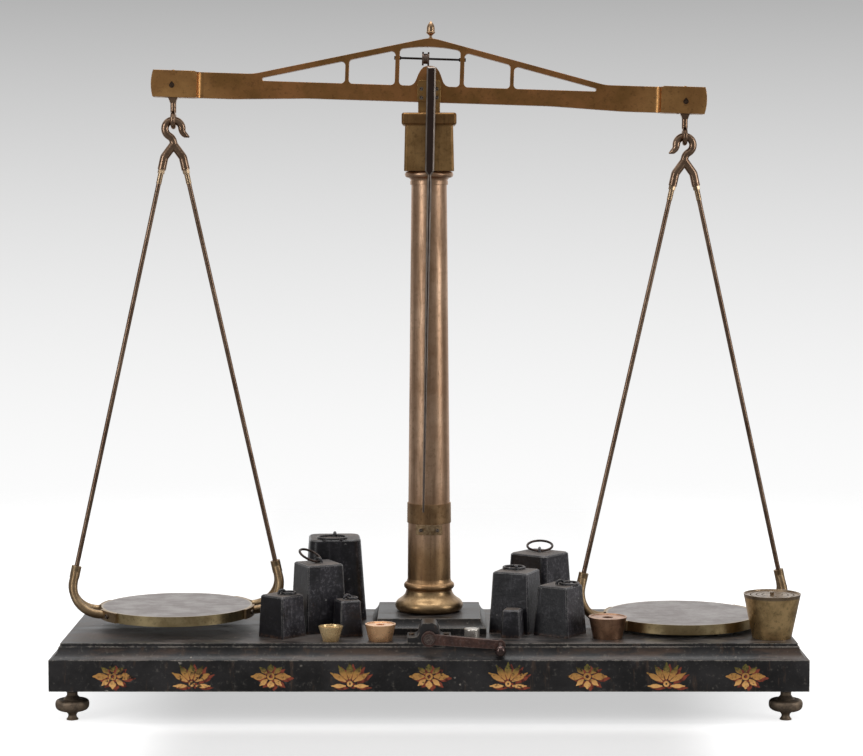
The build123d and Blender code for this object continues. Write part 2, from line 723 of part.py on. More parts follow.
centre_knife_section = teardrop(CENTRE_KNIFE_R, CENTRE_KNIFE_H, up=False)
centre_knife_seat = teardrop(CENTRE_KNIFE_R, CENTRE_KNIFE_H, up=False, grow=SNUG)
end_knife_section = teardrop(END_KNIFE_R, END_KNIFE_H, up=True)
end_knife_seat = teardrop(END_KNIFE_R, END_KNIFE_H, up=True, grow=SNUG)
post_in_out = POST_IN_X + POST_IN_W / 2
post_out_in = POST_OUT_X - POST_OUT_W / 2
post_out_out = POST_OUT_X + POST_OUT_W / 2
finial_foot = APEX_Z - APEX_ROUND * (1 / math.cos(math.atan(chord_slope)) - 1)
window_tip_x = (APEX_Z - CHORD_T - LOWER_CHORD_TOP) / chord_slope
web_end_x = BLOCK_IN_X + 2 * BLOCK_BULGE

with BuildPart() as beam_casting:
    with BuildSketch(beam_face):
        with BuildLine():
            FilletPolyline(
                (-web_end_x, ARM_TOP),
                (-CHORD_START_X, ARM_TOP),
                (0, APEX_Z),
                (CHORD_START_X, ARM_TOP),
                (web_end_x, ARM_TOP),
                radius=(BEND_ROUND, APEX_ROUND, BEND_ROUND),
            )
            Line((web_end_x, ARM_TOP), (web_end_x, ARM_BOTTOM))
            FilletPolyline(
                (web_end_x, ARM_BOTTOM),
                (BELLY_OUT_X, ARM_BOTTOM),
                (BELLY_IN_X, LOWER_CHORD_BOTTOM),
                (-BELLY_IN_X, LOWER_CHORD_BOTTOM),
                (-BELLY_OUT_X, ARM_BOTTOM),
                (-web_end_x, ARM_BOTTOM),
                radius=BELLY_ROUND,
            )
            Line((-web_end_x, ARM_BOTTOM), (-web_end_x, ARM_TOP))
        make_face()
        for side in (-1, 1):
            with BuildLine():
                block_mid = (BLOCK_TOP + BLOCK_BOTTOM) / 2
                outer = side * (BEAM_END_X - BLOCK_BULGE)
                inner = side * (BLOCK_IN_X + BLOCK_BULGE)
                Line((inner, BLOCK_TOP), (outer, BLOCK_TOP))
                ThreePointArc((outer, BLOCK_TOP), (side * BEAM_END_X, block_mid), (outer, BLOCK_BOTTOM))
                Line((outer, BLOCK_BOTTOM), (inner, BLOCK_BOTTOM))
                ThreePointArc((inner, BLOCK_BOTTOM), (side * BLOCK_IN_X, block_mid), (inner, BLOCK_TOP))
            make_face()
    extrude(amount=BLOCK_T / 2, both=True)
    # seen from above the web is thin, and sweeps out to each end block in a cove
    with BuildSketch(beam_frame.offset(2 * BLOCK_BOTTOM)):
        for side in (-1, 1):
            with Locations((side * (BLOCK_IN_X + BEAM_END_X) / 2, 0)):
                Rectangle(BEAM_END_X - BLOCK_IN_X + 0.2, BLOCK_T)
            with BuildLine():
                step = (BLOCK_T - WEB_T) / 2
                root = side * (BLOCK_IN_X - step)
                lift = step * (1 - math.sqrt(0.5))
                Line((root, WEB_T / 2), (root, -WEB_T / 2))
                ThreePointArc(
                    (root, -WEB_T / 2),
                    (side * (BLOCK_IN_X - lift), -WEB_T / 2 - lift),
                    (side * BLOCK_IN_X, -BLOCK_T / 2),
                )
                Line((side * BLOCK_IN_X, -BLOCK_T / 2), (side * BLOCK_IN_X, BLOCK_T / 2))
                ThreePointArc(
                    (side * BLOCK_IN_X, BLOCK_T / 2),
                    (side * (BLOCK_IN_X - lift), WEB_T / 2 + lift),
                    (root, WEB_T / 2),
                )
            make_face()
        Rectangle(2 * BLOCK_IN_X - 2 * step, WEB_T)
    extrude(amount=2 * (APEX_Z - BLOCK_BOTTOM), mode=Mode.INTERSECT)
    with BuildSketch(beam_face):
        for side in (-1, 1):
            with BuildLine():
                FilletPolyline(
                    (side * post_in_out, LOWER_CHORD_TOP),
                    (side * post_out_in, LOWER_CHORD_TOP),
                    (side * post_out_in, chord_under(post_out_in)),
                    (side * post_in_out, chord_under(post_in_out)),
                    radius=WINDOW_R,
                    close=True,
                )
            make_face()
            with BuildLine():
                FilletPolyline(
                    (side * post_out_out, LOWER_CHORD_TOP),
                    (side * window_tip_x, LOWER_CHORD_TOP),
                    (side * post_out_out, chord_under(post_out_out)),
                    radius=(WINDOW_R, WINDOW_TIP_R, WINDOW_R),
                    close=True,
                )
            make_face()
    extrude(amount=BLOCK_T, both=True, mode=Mode.SUBTRACT)
    # the middle window is arched above and has the bell-shaped hub standing in it
    with BuildSketch(beam_face) as middle_window:
        window_half = POST_IN_X - POST_IN_W / 2
        with BuildLine():
            Line((-window_half, LOWER_CHORD_TOP), (window_half, LOWER_CHORD_TOP))
            Line((window_half, LOWER_CHORD_TOP), (window_half, ARCH_SIDE_Z))
            ThreePointArc((window_half, ARCH_SIDE_Z), (0, ARCH_TOP_Z), (-window_half, ARCH_SIDE_Z))
            Line((-window_half, ARCH_SIDE_Z), (-window_half, LOWER_CHORD_TOP))
        make_face()
        fillet(middle_window.vertices(), WINDOW_R)
        with BuildLine():
            Polyline((-HUB_FLARE, LOWER_CHORD_TOP - 1), (HUB_FLARE, LOWER_CHORD_TOP - 1), (HUB_FLARE, LOWER_CHORD_TOP))
            for side in (-1, 1):
                Spline(
                    (side * HUB_FLARE, LOWER_CHORD_TOP),
                    (side * HUB_WAIST, HUB_WAIST_Z),
                    (side * HUB_HALF, HUB_TOP - 2),
                    tangents=((-side, 0.0), (-side * 0.7, 0.7)),
                )
            ThreePointArc((-HUB_HALF, HUB_TOP - 2), (0, HUB_TOP), (HUB_HALF, HUB_TOP - 2))
            Line((-HUB_FLARE, LOWER_CHORD_TOP), (-HUB_FLARE, LOWER_CHORD_TOP - 1))
        make_face(mode=Mode.SUBTRACT)
    extrude(amount=WEB_T, both=True, mode=Mode.SUBTRACT)
    # a pocket in each end block, open below, for the stirrup on its knife
    with BuildSketch(beam_frame.offset(BLOCK_BOTTOM)):
        for side in (-1, 1):
            with Locations((side * KNIFE_X, 0)):
                Rectangle(2 * POCKET_X, 2 * POCKET_Y)
    extrude(amount=POCKET_TOP - BLOCK_BOTTOM, mode=Mode.SUBTRACT)
    with BuildSketch(beam_frame.offset(BLOCK_TOP)):
        for side in (-1, 1):
            with Locations((side * KNIFE_X, 0)):
                Circle(NIB_R)
    extrude(amount=NIB_H)
    for side in (-1, 1):
        with BuildSketch(within(beam_frame, Plane(origin=(side * KNIFE_X, 0, 0), x_dir=(1, 0, 0), z_dir=(0, -1, 0)))):
            add(end_knife_seat)
        extrude(amount=BLOCK_T, both=True, mode=Mode.SUBTRACT)
    with BuildSketch(beam_face):
        add(centre_knife_seat)
    extrude(amount=BLOCK_T, both=True, mode=Mode.SUBTRACT)
    with BuildSketch(within(beam_frame, Plane.YZ)):
        with Locations((0, ROD_Z)):
            Circle(ROD_R + SNUG)
    extrude(amount=POST_IN_X + POST_IN_W, both=True, mode=Mode.SUBTRACT)
    with BuildSketch(beam_frame.offset(finial_foot - FINIAL_SPIGOT - SEAT)):
        Circle(FINIAL_SPIGOT_R + SNUG)
    extrude(amount=APEX_Z, mode=Mode.SUBTRACT)
save(beam_casting, "beam_casting")

with BuildPart() as centre_knife:
    with BuildSketch(beam_face):
        add(centre_knife_section)
    extrude(amount=CENTRE_KNIFE_LEN / 2, both=True)
save(centre_knife, "centre_knife")

with BuildPart() as end_knives:
    for side in (-1, 1):
        with BuildSketch(within(beam_frame, Plane(origin=(side * KNIFE_X, 0, 0), x_dir=(1, 0, 0), z_dir=(0, -1, 0)))):
            add(end_knife_section)
        extrude(amount=BLOCK_T / 2 + 0.4, both=True)
save(end_knives, "end_knives")

with BuildPart() as poise_rod:
    with BuildSketch(within(beam_frame, Plane.YZ)):
        with Locations((0, ROD_Z)):
            Circle(ROD_R)
    extrude(amount=POST_IN_X + POST_IN_W / 2 + ROD_COLLAR_T, both=True)
    for side in (-1, 1):
        for face_x in (POST_IN_X - POST_IN_W / 2 - ROD_COLLAR_T, POST_IN_X + POST_IN_W / 2):
            with BuildSketch(within(beam_frame, Plane.YZ.offset(side * (face_x + ROD_COLLAR_T / 2)))):
                with Locations((0, ROD_Z)):
                    Circle(ROD_COLLAR_R)
            extrude(amount=ROD_COLLAR_T / 2, both=True)
save(poise_rod, "poise_rod")

nut_r = ROD_Z - HUB_TOP - SEAT
with BuildPart() as poise_nut:
    nut_axis = within(beam_frame, Plane.YZ.offset(NUT_X - NUT_W / 2))
    with BuildSketch(nut_axis):
        with Locations((0, ROD_Z)):
            Circle(NUT_GROOVE_R)
    extrude(amount=NUT_W)
    for start, length in ((0, 2.2), (NUT_W - 2.2, 2.2)):
        with BuildSketch(nut_axis.offset(start)):
            with Locations((0, ROD_Z)):
                Circle(nut_r)
        extrude(amount=length)
    with BuildSketch(nut_axis):
        with Locations((0, ROD_Z)):
            Circle(ROD_R + RUNNING)
    extrude(amount=NUT_W, mode=Mode.SUBTRACT)
save(poise_nut, "poise_nut")

with BuildPart() as finial:
    with BuildSketch(beam_face):
        with BuildLine():
            Polyline(
                (0, finial_foot - FINIAL_SPIGOT),
                (FINIAL_SPIGOT_R, finial_foot - FINIAL_SPIGOT),
                (FINIAL_SPIGOT_R, finial_foot),
                (3.4, finial_foot),
                (3.4, finial_foot + 0.8),
                (1.6, finial_foot + 2.4),
            )
            Polyline((1.6, finial_foot + 2.4), (1.7, finial_foot + 4.4), (FINIAL_R - 0.8, finial_foot + 6.8))
            Spline(
                (FINIAL_R - 0.8, finial_foot + 6.8),
                (FINIAL_R, finial_foot + 9.4),
                (3.0, finial_foot + 15.6),
                (0.5, finial_foot + FINIAL_H),
            )
            Polyline(
                (0.5, finial_foot + FINIAL_H),
                (0, finial_foot + FINIAL_H),
                (0, finial_foot - FINIAL_SPIGOT),
            )
        make_face()
    revolve(axis=Axis(beam_frame.origin, beam_frame.z_dir))
save(finial, "finial")

# Pointer: a bevelled bar and a round tapered needle, standing off the hub on a short pillar
lean = math.radians(POINTER_LEAN)
pointer_plane = Plane(
    origin=(POINTER_SHIFT, -POINTER_Y, 0),
    x_dir=(math.cos(lean), 0, math.sin(lean)),
    z_dir=(0, -1, 0),
)
pointer_face = within(beam_frame, pointer_plane)
with BuildPart() as pointer:
    with BuildSketch(pointer_face):
        with BuildLine():
            half = POINTER_W / 2
            Polyline(
                (-half, POINTER_TOP),
                (half, POINTER_TOP),
                (half, POINTER_FLAT_END),
                (0, POINTER_FLAT_END - POINTER_V),
                (-half, POINTER_FLAT_END),
                (-half, POINTER_TOP),
            )
        make_face()
    bar = extrude(amount=POINTER_T)
    bar_front = pointer.faces().sort_by(Axis.Y)[0]
    chamfer(bar_front.edges(), length=POINTER_BEVEL - 0.3, length2=POINTER_BEVEL)
    needle_top = POINTER_FLAT_END
    with BuildSketch(within(pointer_face, Plane(origin=(0, needle_top, POINTER_T / 2 - 0.1), z_dir=(0, -1, 0)))):
        Circle(NEEDLE_R * 0.45)
    with BuildSketch(
        within(pointer_face, Plane(origin=(0, needle_top - POINTER_V - 4, POINTER_T / 2 - 0.1), z_dir=(0, -1, 0)))
    ):
        Circle(NEEDLE_R)
    loft()
    with BuildSketch(
        within(pointer_face, Plane(origin=(0, needle_top - POINTER_V - 4, POINTER_T / 2 - 0.1), z_dir=(0, -1, 0)))
    ):
        Circle(NEEDLE_R)
    with BuildSketch(within(pointer_face, Plane(origin=(0, NEEDLE_TIP_Z, POINTER_T / 2 - 0.1), z_dir=(0, -1, 0)))):
        Circle(NEEDLE_TIP_R)
    loft()
save(pointer, "pointer")

with BuildPart() as pointer_pillar:
    with BuildSketch(within(beam_frame, Plane(origin=(POINTER_SHIFT / 2, -WEB_T / 2, 0), x_dir=(1, 0, 0), z_dir=(0, -1, 0)))):
        with Locations((0, STUD_PILLAR_Z)):
            Circle(STUD_PILLAR_R)
    extrude(amount=POINTER_Y - WEB_T / 2)
save(pointer_pillar, "pointer_pillar")


def stirrup(frame):
    """A stirrup that hangs on an end knife: a holed head inside the block, a shank and an eye below."""
    profile = within(frame, Plane.XZ)
    half = STIRRUP_W / 2
    hole = STIRRUP_HOLE_W / 2
    with BuildPart() as piece:
        with BuildSketch(profile):
            with BuildLine():
                Polyline((-half, STIRRUP_HEAD), (half, STIRRUP_HEAD), (half, BLOCK_BOTTOM + 1.2))
                ThreePointArc(
                    (half, BLOCK_BOTTOM + 1.2),
                    (STIRRUP_SHANK_R + 0.9, -STIRRUP_FLARE_END + 3.2),
                    (STIRRUP_SHANK_R, -STIRRUP_FLARE_END),
                )
                Line((STIRRUP_SHANK_R, -STIRRUP_FLARE_END), (-STIRRUP_SHANK_R, -STIRRUP_FLARE_END))
                ThreePointArc(
                    (-STIRRUP_SHANK_R, -STIRRUP_FLARE_END),
                    (-STIRRUP_SHANK_R - 0.9, -STIRRUP_FLARE_END + 3.2),
                    (-half, BLOCK_BOTTOM + 1.2),
                )
                Line((-half, BLOCK_BOTTOM + 1.2), (-half, STIRRUP_HEAD))
            make_face()
            with BuildLine():
                Polyline(
                    (0, 0.1),
                    (hole, 0.1 - hole / math.tan(math.radians(BEARING_HALF_ANGLE))),
                    (hole, -STIRRUP_HOLE_BOTTOM),
                    (-hole, -STIRRUP_HOLE_BOTTOM),
                    (-hole, 0.1 - hole / math.tan(math.radians(BEARING_HALF_ANGLE))),
                    (0, 0.1),
                )
            make_face(mode=Mode.SUBTRACT)
        extrude(amount=STIRRUP_T / 2, both=True)
        with BuildSketch(within(frame, Plane.XY.offset(-STIRRUP_FLARE_END + 5))):
            Circle(STIRRUP_SHANK_R)
        extrude(amount=-(EYE_DROP - EYE_R - STIRRUP_FLARE_END + 5))
        with Locations(within(frame, Plane(origin=(0, 0, -EYE_DROP), z_dir=(1, 0, 0))).location):
            Torus(EYE_R, EYE_WIRE_R)
    return piece


# Hanger geometry, in a frame whose origin is the end knife's edge
hook_centre_drop = EYE_DROP + EYE_R - EYE_WIRE_R - SEAT - HOOK_WIRE_R + HOOK_R


def rod_angle(drop):
    run = ROD_BOTTOM_SPREAD - ROD_TOP_SPREAD
    return math.atan2(run, drop - SOCKET_RISE - ROD_TOP_DROP)


def rod_point(side, drop, below):
    """The point of a rod's axis at a depth below the end knife."""
    spread = ROD_TOP_SPREAD + (below - ROD_TOP_DROP) * math.tan(rod_angle(drop))
    return (side * spread, 0, -below)


def rod_dir(side, drop):
    angle = rod_angle(drop)
    return (side * math.sin(angle), 0, -math.cos(angle))


def hook(frame, side, drop):
    """The S-hook and its fork, drawn from the open tip over the stirrup's eye and down to the two legs."""
    open_side = -side
    top = -hook_centre_drop
    flare = math.radians(HOOK_FLARE)
    tip = (
        open_side * (HOOK_R + HOOK_FLARE_R * (1 - math.cos(flare))),
        0,
        top - HOOK_FLARE_R * math.sin(flare),
    )
    tip_dir = (open_side * math.sin(flare), 0, -math.cos(flare))
    flare_mid = (
        open_side * (HOOK_R + HOOK_FLARE_R * (1 - math.cos(flare / 2))),
        0,
        top - HOOK_FLARE_R * math.sin(flare / 2),
    )
    # the turn stops 60 degrees short of the bottom, and an equal bend the other way ends on the hanger's axis
    cos30 = math.sqrt(3) / 2
    turn_mid = (-open_side * HOOK_R * cos30, 0, top - HOOK_R / 2)
    last = (-open_side * HOOK_R / 2, 0, top - HOOK_R * cos30)
    neck = (0, 0, top - 2 * HOOK_R * cos30)
    closing = (-open_side * HOOK_R * (1 - cos30), 0, neck[2] + HOOK_R / 2)
    with BuildPart() as piece:
        with BuildLine(frame) as path:
            ThreePointArc(tip, flare_mid, (open_side * HOOK_R, 0, top))
            ThreePointArc((open_side * HOOK_R, 0, top), (0, 0, top + HOOK_R), (-open_side * HOOK_R, 0, top))
            ThreePointArc((-open_side * HOOK_R, 0, top), turn_mid, last)
            ThreePointArc(last, closing, neck)
            Line(neck, (0, 0, neck[2] - 3))
        with BuildSketch(within(frame, along(tip, tuple(-c for c in tip_dir)))):
            Circle(HOOK_WIRE_R * 0.72)
        with BuildSketch(within(frame, along((open_side * HOOK_R, 0, top), (0, 0, 1)))):
            Circle(HOOK_WIRE_R)
        sweep(path=path.edges()[0], multisection=True)
        with BuildSketch(within(frame, along((open_side * HOOK_R, 0, top), (0, 0, 1)))):
            Circle(HOOK_WIRE_R)
        sweep(path=Wire(path.edges()[1:]))
        with BuildSketch(within(frame, along(tip, tip_dir))):
            Circle(HOOK_WIRE_R * 0.72)
        with BuildSketch(within(frame, along(tip, tip_dir)).offset(HOOK_TIP)):
            Circle(0.8)
        loft()
        for leg in (-1, 1):
            knee = rod_point(leg, drop, FORK_KNEE_DROP)
            end = rod_point(leg, drop, FORK_END_DROP)
            start = (0, 0, -FORK_NECK_DROP)
            with BuildLine(frame) as arm:
                FilletPolyline(start, knee, end, radius=FORK_BEND)
            down = tuple(k - s for k, s in zip(knee, start))
            with BuildSketch(within(frame, along(start, down))):
                Circle(FORK_WIRE_R)
            sweep(path=arm.wires()[0])
        with BuildSketch(within(frame, Plane.XY.offset(-FORK_NECK_DROP + 3))):
            Circle(FORK_WIRE_R - 0.2)
        extrude(amount=-8)
    return piece


def ferrules(frame, drop):
    """A nut and a sleeve below each leg of the fork."""
    angle = rod_angle(drop)
    with BuildPart() as pair:
        for leg in (-1, 1):
            base = within(frame, along(rod_point(leg, drop, FORK_END_DROP), rod_dir(leg, drop)))
            with BuildSketch(base):
                RegularPolygon(FERRULE_R, 8)
            extrude(amount=FERRULE_H)
            with BuildSketch(base.offset(FERRULE_H)):
                Circle(SLEEVE_R)
            extrude(amount=(ROD_TOP_DROP - FORK_END_DROP) / math.cos(angle) - FERRULE_H)
            with BuildSketch(base):
                Circle(HANGER_ROD_R + SNUG)
            extrude(amount=FERRULE_H + 2 * SLEEVE_H, mode=Mode.SUBTRACT)
    return pair


def rods(frame, drop):
    with BuildPart() as pair:
        for leg in (-1, 1):
            base = within(frame, along(rod_point(leg, drop, FORK_END_DROP), rod_dir(leg, drop)))
            fall = drop - SOCKET_RISE - FORK_END_DROP
            with BuildSketch(base):
                Circle(HANGER_ROD_R)
            extrude(amount=fall / math.cos(rod_angle(drop)) + ROD_IN_SOCKET)
    return pair


def lug_angles(at):
    """The four places on a pan's rim that lie at an angle from the middle of a bow."""
    return (at, 180 - at, 180 + at, -at)


def rim_plane(frame, drop, angle, radius):
    """A plane half-way up a pan's rim, facing outward."""
    turn = math.radians(angle)
    outward = (math.cos(turn), math.sin(turn), 0)
    return within(frame, along((radius * outward[0], radius * outward[1], -drop - PAN_H / 2), outward))


def bows(frame, drop):
    """Two wishbones: each splits at its rod's socket and sweeps in to two lugs that lie along the pan's rim."""
    pan_foot = Plane.XY.offset(-drop - PAN_H)
    with BuildPart() as pair:
        for side in (-1, 1):
            direction = rod_dir(side, drop)
            top = rod_point(side, drop, drop - SOCKET_RISE)
            start = tuple(t + 8 * d for t, d in zip(top, direction))
            corner = tuple(t + BOW_CORNER * d for t, d in zip(top, direction))
            base = within(frame, along(top, direction))
            for hand in (-1, 1):
                turn = math.radians(hand * ARM_ANGLE)
                end = (side * PAN_R * math.cos(turn), PAN_R * math.sin(turn), -drop - PAN_H / 2)
                arm_start = (start[0], hand * BOW_PART, start[2])
                arm_corner = (corner[0], hand * BOW_SPREAD, corner[2])
                rounded = bend(arm_start, arm_corner, end, BOW_BEND)
                outset = tuple(c - s for c, s in zip(arm_corner, arm_start))
                with BuildLine(frame) as path:
                    Line(arm_start, rounded[0])
                    ThreePointArc(*rounded)
                    Line(rounded[2], end)
                with BuildSketch(within(frame, along(arm_start, outset))):
                    Circle(BOW_WIRE_R)
                sweep(path=path.wires()[0])
            with BuildSketch(base):
                Circle(SOCKET_R)
            extrude(amount=SOCKET_H)
            with BuildSketch(base):
                Circle(HANGER_ROD_R + SNUG)
            extrude(amount=ROD_IN_SOCKET + SEAT, mode=Mode.SUBTRACT)
        with BuildSketch(within(frame, pan_foot)):
            Circle(PAN_R + SNUG)
        extrude(amount=2 * PAN_H, mode=Mode.SUBTRACT)
        lug_len = math.radians(LUG_TO - LUG_FROM) * PAN_R
        with BuildSketch(within(frame, pan_foot)):
            with BuildSketch(mode=Mode.PRIVATE) as strips:
                for turn in lug_angles((LUG_FROM + LUG_TO) / 2):
                    with Locations(Location((0, 0, 0), (0, 0, turn))):
                        Rectangle(2 * PAN_R, lug_len, align=(Align.MIN, Align.CENTER))
            Circle(PAN_R + LUG_T)
            Circle(PAN_R + SNUG, mode=Mode.SUBTRACT)
            add(strips.sketch, mode=Mode.INTERSECT)
        extrude(amount=PAN_H)
        for angle in lug_angles(SCREW_ANGLE):
            with BuildSketch(rim_plane(frame, drop, angle, PAN_R - 1)):
                Circle(PAN_SCREW_R + SNUG)
            extrude(amount=2 * LUG_T, mode=Mode.SUBTRACT)
    return pair


def pan(frame, drop):
    """A flat turned pan: a thin plate with a deep brass rim, hollow beneath."""
    with BuildPart() as plate:
        with BuildSketch(within(frame, Plane.XY.offset(-drop - PAN_H))):
            Circle(PAN_R)
        extrude(amount=PAN_H)
        with BuildSketch(within(frame, Plane.XY.offset(-drop - PAN_H))):
            Circle(PAN_R - PAN_RIM_T)
        extrude(amount=PAN_H - PAN_PLATE_T, mode=Mode.SUBTRACT)
        for angle in lug_angles(SCREW_ANGLE):
            with BuildSketch(rim_plane(frame, drop, angle, PAN_R - 2 * PAN_RIM_T)):
                Circle(PAN_SCREW_R + SNUG)
            extrude(amount=3 * PAN_RIM_T, mode=Mode.SUBTRACT)
    return plate


def pan_screws(frame, drop):
    """The four screws that hold the lugs to the rim."""
    with BuildPart() as four:
        add(
            [
                screw(
                    rim_plane(frame, drop, angle, PAN_R + LUG_T),
                    PAN_SCREW_HEAD_R,
                    PAN_SCREW_HEAD_T,
                    PAN_SCREW_R,
                    LUG_T + PAN_RIM_T,
                    slot_turn=angle,
                )
                for angle in lug_angles(SCREW_ANGLE)
            ]
        )
    return four


for name, side, drop, yaw in (("left", -1, LEFT_DROP, LEFT_YAW), ("right", 1, RIGHT_DROP, RIGHT_YAW)):
    knife_edge = beam_frame.from_local_coords((side * KNIFE_X, 0, 0))
    plumb = Plane(origin=knife_edge)
    turn = math.radians(yaw)
    hang = Plane(origin=knife_edge, x_dir=(math.cos(turn), math.sin(turn), 0), z_dir=(0, 0, 1))
    save(stirrup(plumb), f"{name}_stirrup")
    save(hook(hang, side, drop), f"{name}_hook")
    save(ferrules(hang, drop), f"{name}_ferrules")
    save(rods(hang, drop), f"{name}_rods")
    save(bows(hang, drop), f"{name}_bows")
    save(pan(hang, drop), f"{name}_pan")
    save(pan_screws(hang, drop), f"{name}_pan_screws")

# Lever bracket: a bell-shaped iron pillow on the deck's front edge
with BuildPart() as lever_bracket:
    with BuildSketch(Plane.XZ.offset(deck_front)):
        with BuildLine():
            FilletPolyline(
                (0, DECK_Z),
                (BRACKET_W / 2, DECK_Z),
                (BRACKET_W / 2, DECK_Z + BRACKET_FOOT_T),
                (BRACKET_WAIST, DECK_Z + BRACKET_FOOT_T),
                (BRACKET_CROWN, BRACKET_TOP),
                (0, BRACKET_TOP),
                radius=(0, 1.5, 5.0, 6.5),
            )
            mirror(about=Plane.YZ)
        make_face()
    extrude(amount=-BRACKET_D)
    with BuildSketch(Plane.XZ.offset(deck_front)):
        with Locations((0, LEVER_Z)):
            Circle(LEVER_SHAFT_R + RUNNING)
    extrude(amount=-BRACKET_D, mode=Mode.SUBTRACT)
    with BuildSketch(Plane.XY.offset(DECK_Z)):
        with Locations(*[(side * BRACKET_SCREW_X, -deck_front + BRACKET_D / 2) for side in (-1, 1)]):
            Circle(2.0 + SNUG)
    extrude(amount=BRACKET_FOOT_T, mode=Mode.SUBTRACT)
save(lever_bracket, "lever_bracket")

lever_back = -deck_front - LEVER_GAP
lever_front = lever_back - LEVER_HUB_T
# the cam rises evenly with the lever's turn, so the post lifts in step with it
spiral = []
for step_angle in [CAM_TURN * i / 8 for i in range(9)]:
    reach = CAM_LOW_R + CAM_LIFT * step_angle / CAM_TURN
    polar = math.radians(90 - step_angle)
    spiral.append((reach * math.cos(polar), reach * math.sin(polar)))
with BuildPart() as cam_shaft:
    with BuildSketch(Plane.XZ.offset(-lever_front)):
        with Locations((0, LEVER_Z)):
            Circle(LEVER_SHAFT_R)
    extrude(amount=lever_front - (plinth_half + plinth_cavity_half) / 2 + SEAT)
    with BuildSketch(Plane(origin=(0, -CAM_T / 2, LEVER_Z), x_dir=(1, 0, 0), z_dir=(0, -1, 0))):
        with BuildLine():
            Spline(*spiral)
            Line(spiral[-1], (CAM_LOW_R * 0.6, -CAM_LOW_R * 0.8))
            ThreePointArc((CAM_LOW_R * 0.6, -CAM_LOW_R * 0.8), (-CAM_LOW_R, 0), spiral[0])
        make_face()
    extrude(amount=-CAM_T)
save(cam_shaft, "cam_shaft")

lever_face = Plane(origin=(0, lever_front, LEVER_Z), x_dir=(1, 0, 0), z_dir=(0, -1, 0))
slope = math.radians(LEVER_SLOPE)
lever_axis = Plane(
    origin=(0, lever_front, LEVER_Z),
    x_dir=(math.cos(slope), 0, -math.sin(slope)),
    z_dir=(0, -1, 0),
)
with BuildPart() as lever_arm:
    with BuildSketch(lever_axis):
        with Locations((LEVER_HUB_R, 0)):
            Circle(LEVER_ROOT_HALF)
        with Locations((LEVER_LEN, 0)):
            Circle(LEVER_TIP_HALF)
        make_hull()
        with Locations((LEVER_LEN, 0)):
            Circle(LEVER_END_R)
    extrude(amount=-LEVER_T)
    with BuildSketch(lever_axis):
        Circle(LEVER_HUB_R)
    extrude(amount=-LEVER_HUB_T)
    with BuildSketch(lever_axis):
        Circle(LEVER_SHAFT_R + SNUG)
    extrude(amount=-LEVER_HUB_T, mode=Mode.SUBTRACT)
save(lever_arm, "lever_arm")

with BuildPart() as lever_screw:
    with BuildSketch(lever_face):
        Circle(LEVER_SHAFT_R + 1.4)
    extrude(amount=0.8)
    with BuildSketch(lever_face.offset(0.8)):
        Circle(LEVER_SCREW_R)
    extrude(amount=LEVER_SCREW_T)
    with BuildSketch(lever_face.offset(0.8 + LEVER_SCREW_T)):
        Rectangle(3 * LEVER_SCREW_R, 1.2, rotation=35)
    extrude(amount=-1.2, mode=Mode.SUBTRACT)
save(lever_screw, "lever_screw")

lever_end = lever_axis.from_local_coords((LEVER_LEN, 0, 0))
knob_centre = lever_end + Vector(0, -KNOB_REACH, -KNOB_DROP)
with BuildPart() as lever_knob:
    with Locations(knob_centre):
        Sphere(KNOB_R)
    neck_start = lever_end + Vector(0, 0, -0.4)
    with BuildSketch(along(knob_centre, knob_centre - neck_start)):
        Circle(KNOB_NECK_R)
    extrude(amount=-(knob_centre - neck_start).length - 2)
    with BuildSketch(Plane(origin=lever_end, x_dir=(1, 0, 0), z_dir=(0, -1, 0))):
        Rectangle(6 * KNOB_R, 6 * KNOB_R)
    extrude(amount=-20, mode=Mode.SUBTRACT)
save(lever_knob, "lever_knob")

bracket_screw_set = [
    screw(
        Plane(origin=(side * BRACKET_SCREW_X, -deck_front + BRACKET_D / 2, DECK_Z + BRACKET_FOOT_T)),
        3.5,
        1.8,
        2.0,
        BRACKET_FOOT_T - 0.2,
        0.9,
        side * 30,
    )
    for side in (-1, 1)
]
tab_screw_set = [
    screw(along((side * TAB_SCREW_X, -tab_face, tab_mid), (0, -1, 0)), 2.2, 1.0, 1.2, 3.0, 0.6, side * 70)
    for side in (-1, 1)
]
with BuildPart() as stand_screws:
    add(bracket_screw_set + tab_screw_set)
save(stand_screws, "stand_screws")

# Weights, standing loose on the deck. An iron weight is a tapered square with a staple and a ring on top.
# Those near the front keep their distance from the deck's front edge.
Iron = namedtuple("Iron", "name x y foot top height turn corner ring ring_turn lean")
IRONS = (
    Iron("iron_weight_largest", -121, 75, 79, 65, 102, 4, 13, 18.0, 262, 0),
    Iron("iron_weight_second", -137, 94.4 - deck_front, 54, 47, 84, 25, 1.6, 14.0, 151, 28),
    Iron("iron_weight_third", -180, 53.4 - deck_front, 42, 37.5, 51, 49, 1.4, 8.5, 20, 0),
    Iron("iron_weight_small", -100, 58.4 - deck_front, 30, 25.5, 44, 22, 1.4, 5.6, 15, 0),
    Iron("iron_weight_rear_right", 141, 61, 66, 57, 84, 53, 8, 16.0, 86, 16),
    Iron("iron_weight_mid_right", 108, 92.4 - deck_front, 53, 45.5, 75, -22, 1.6, 13.0, 100, 0),
    Iron("iron_weight_front_right", 161, 65.4 - deck_front, 49, 40.5, 61, -32, 1.6, 11.3, 8, 0),
    Iron("iron_weight_least", 102, 47.4 - deck_front, 24, 21, 34, -14, 1.4, 0, 0, 0),
)
RING_WIRE_R = 1.5
STAPLE_R = 4.2
STAPLE_WIRE_R = 1.7
STAPLE_LIFT = 1.2


def iron_top(iron):
    return DECK_Z + iron.height


def ring_pin(iron):
    """Where a ring's wire passes under its staple: the axis that the ring turns on."""
    return Vector(iron.x, iron.y, iron_top(iron) + RING_WIRE_R + SEAT)


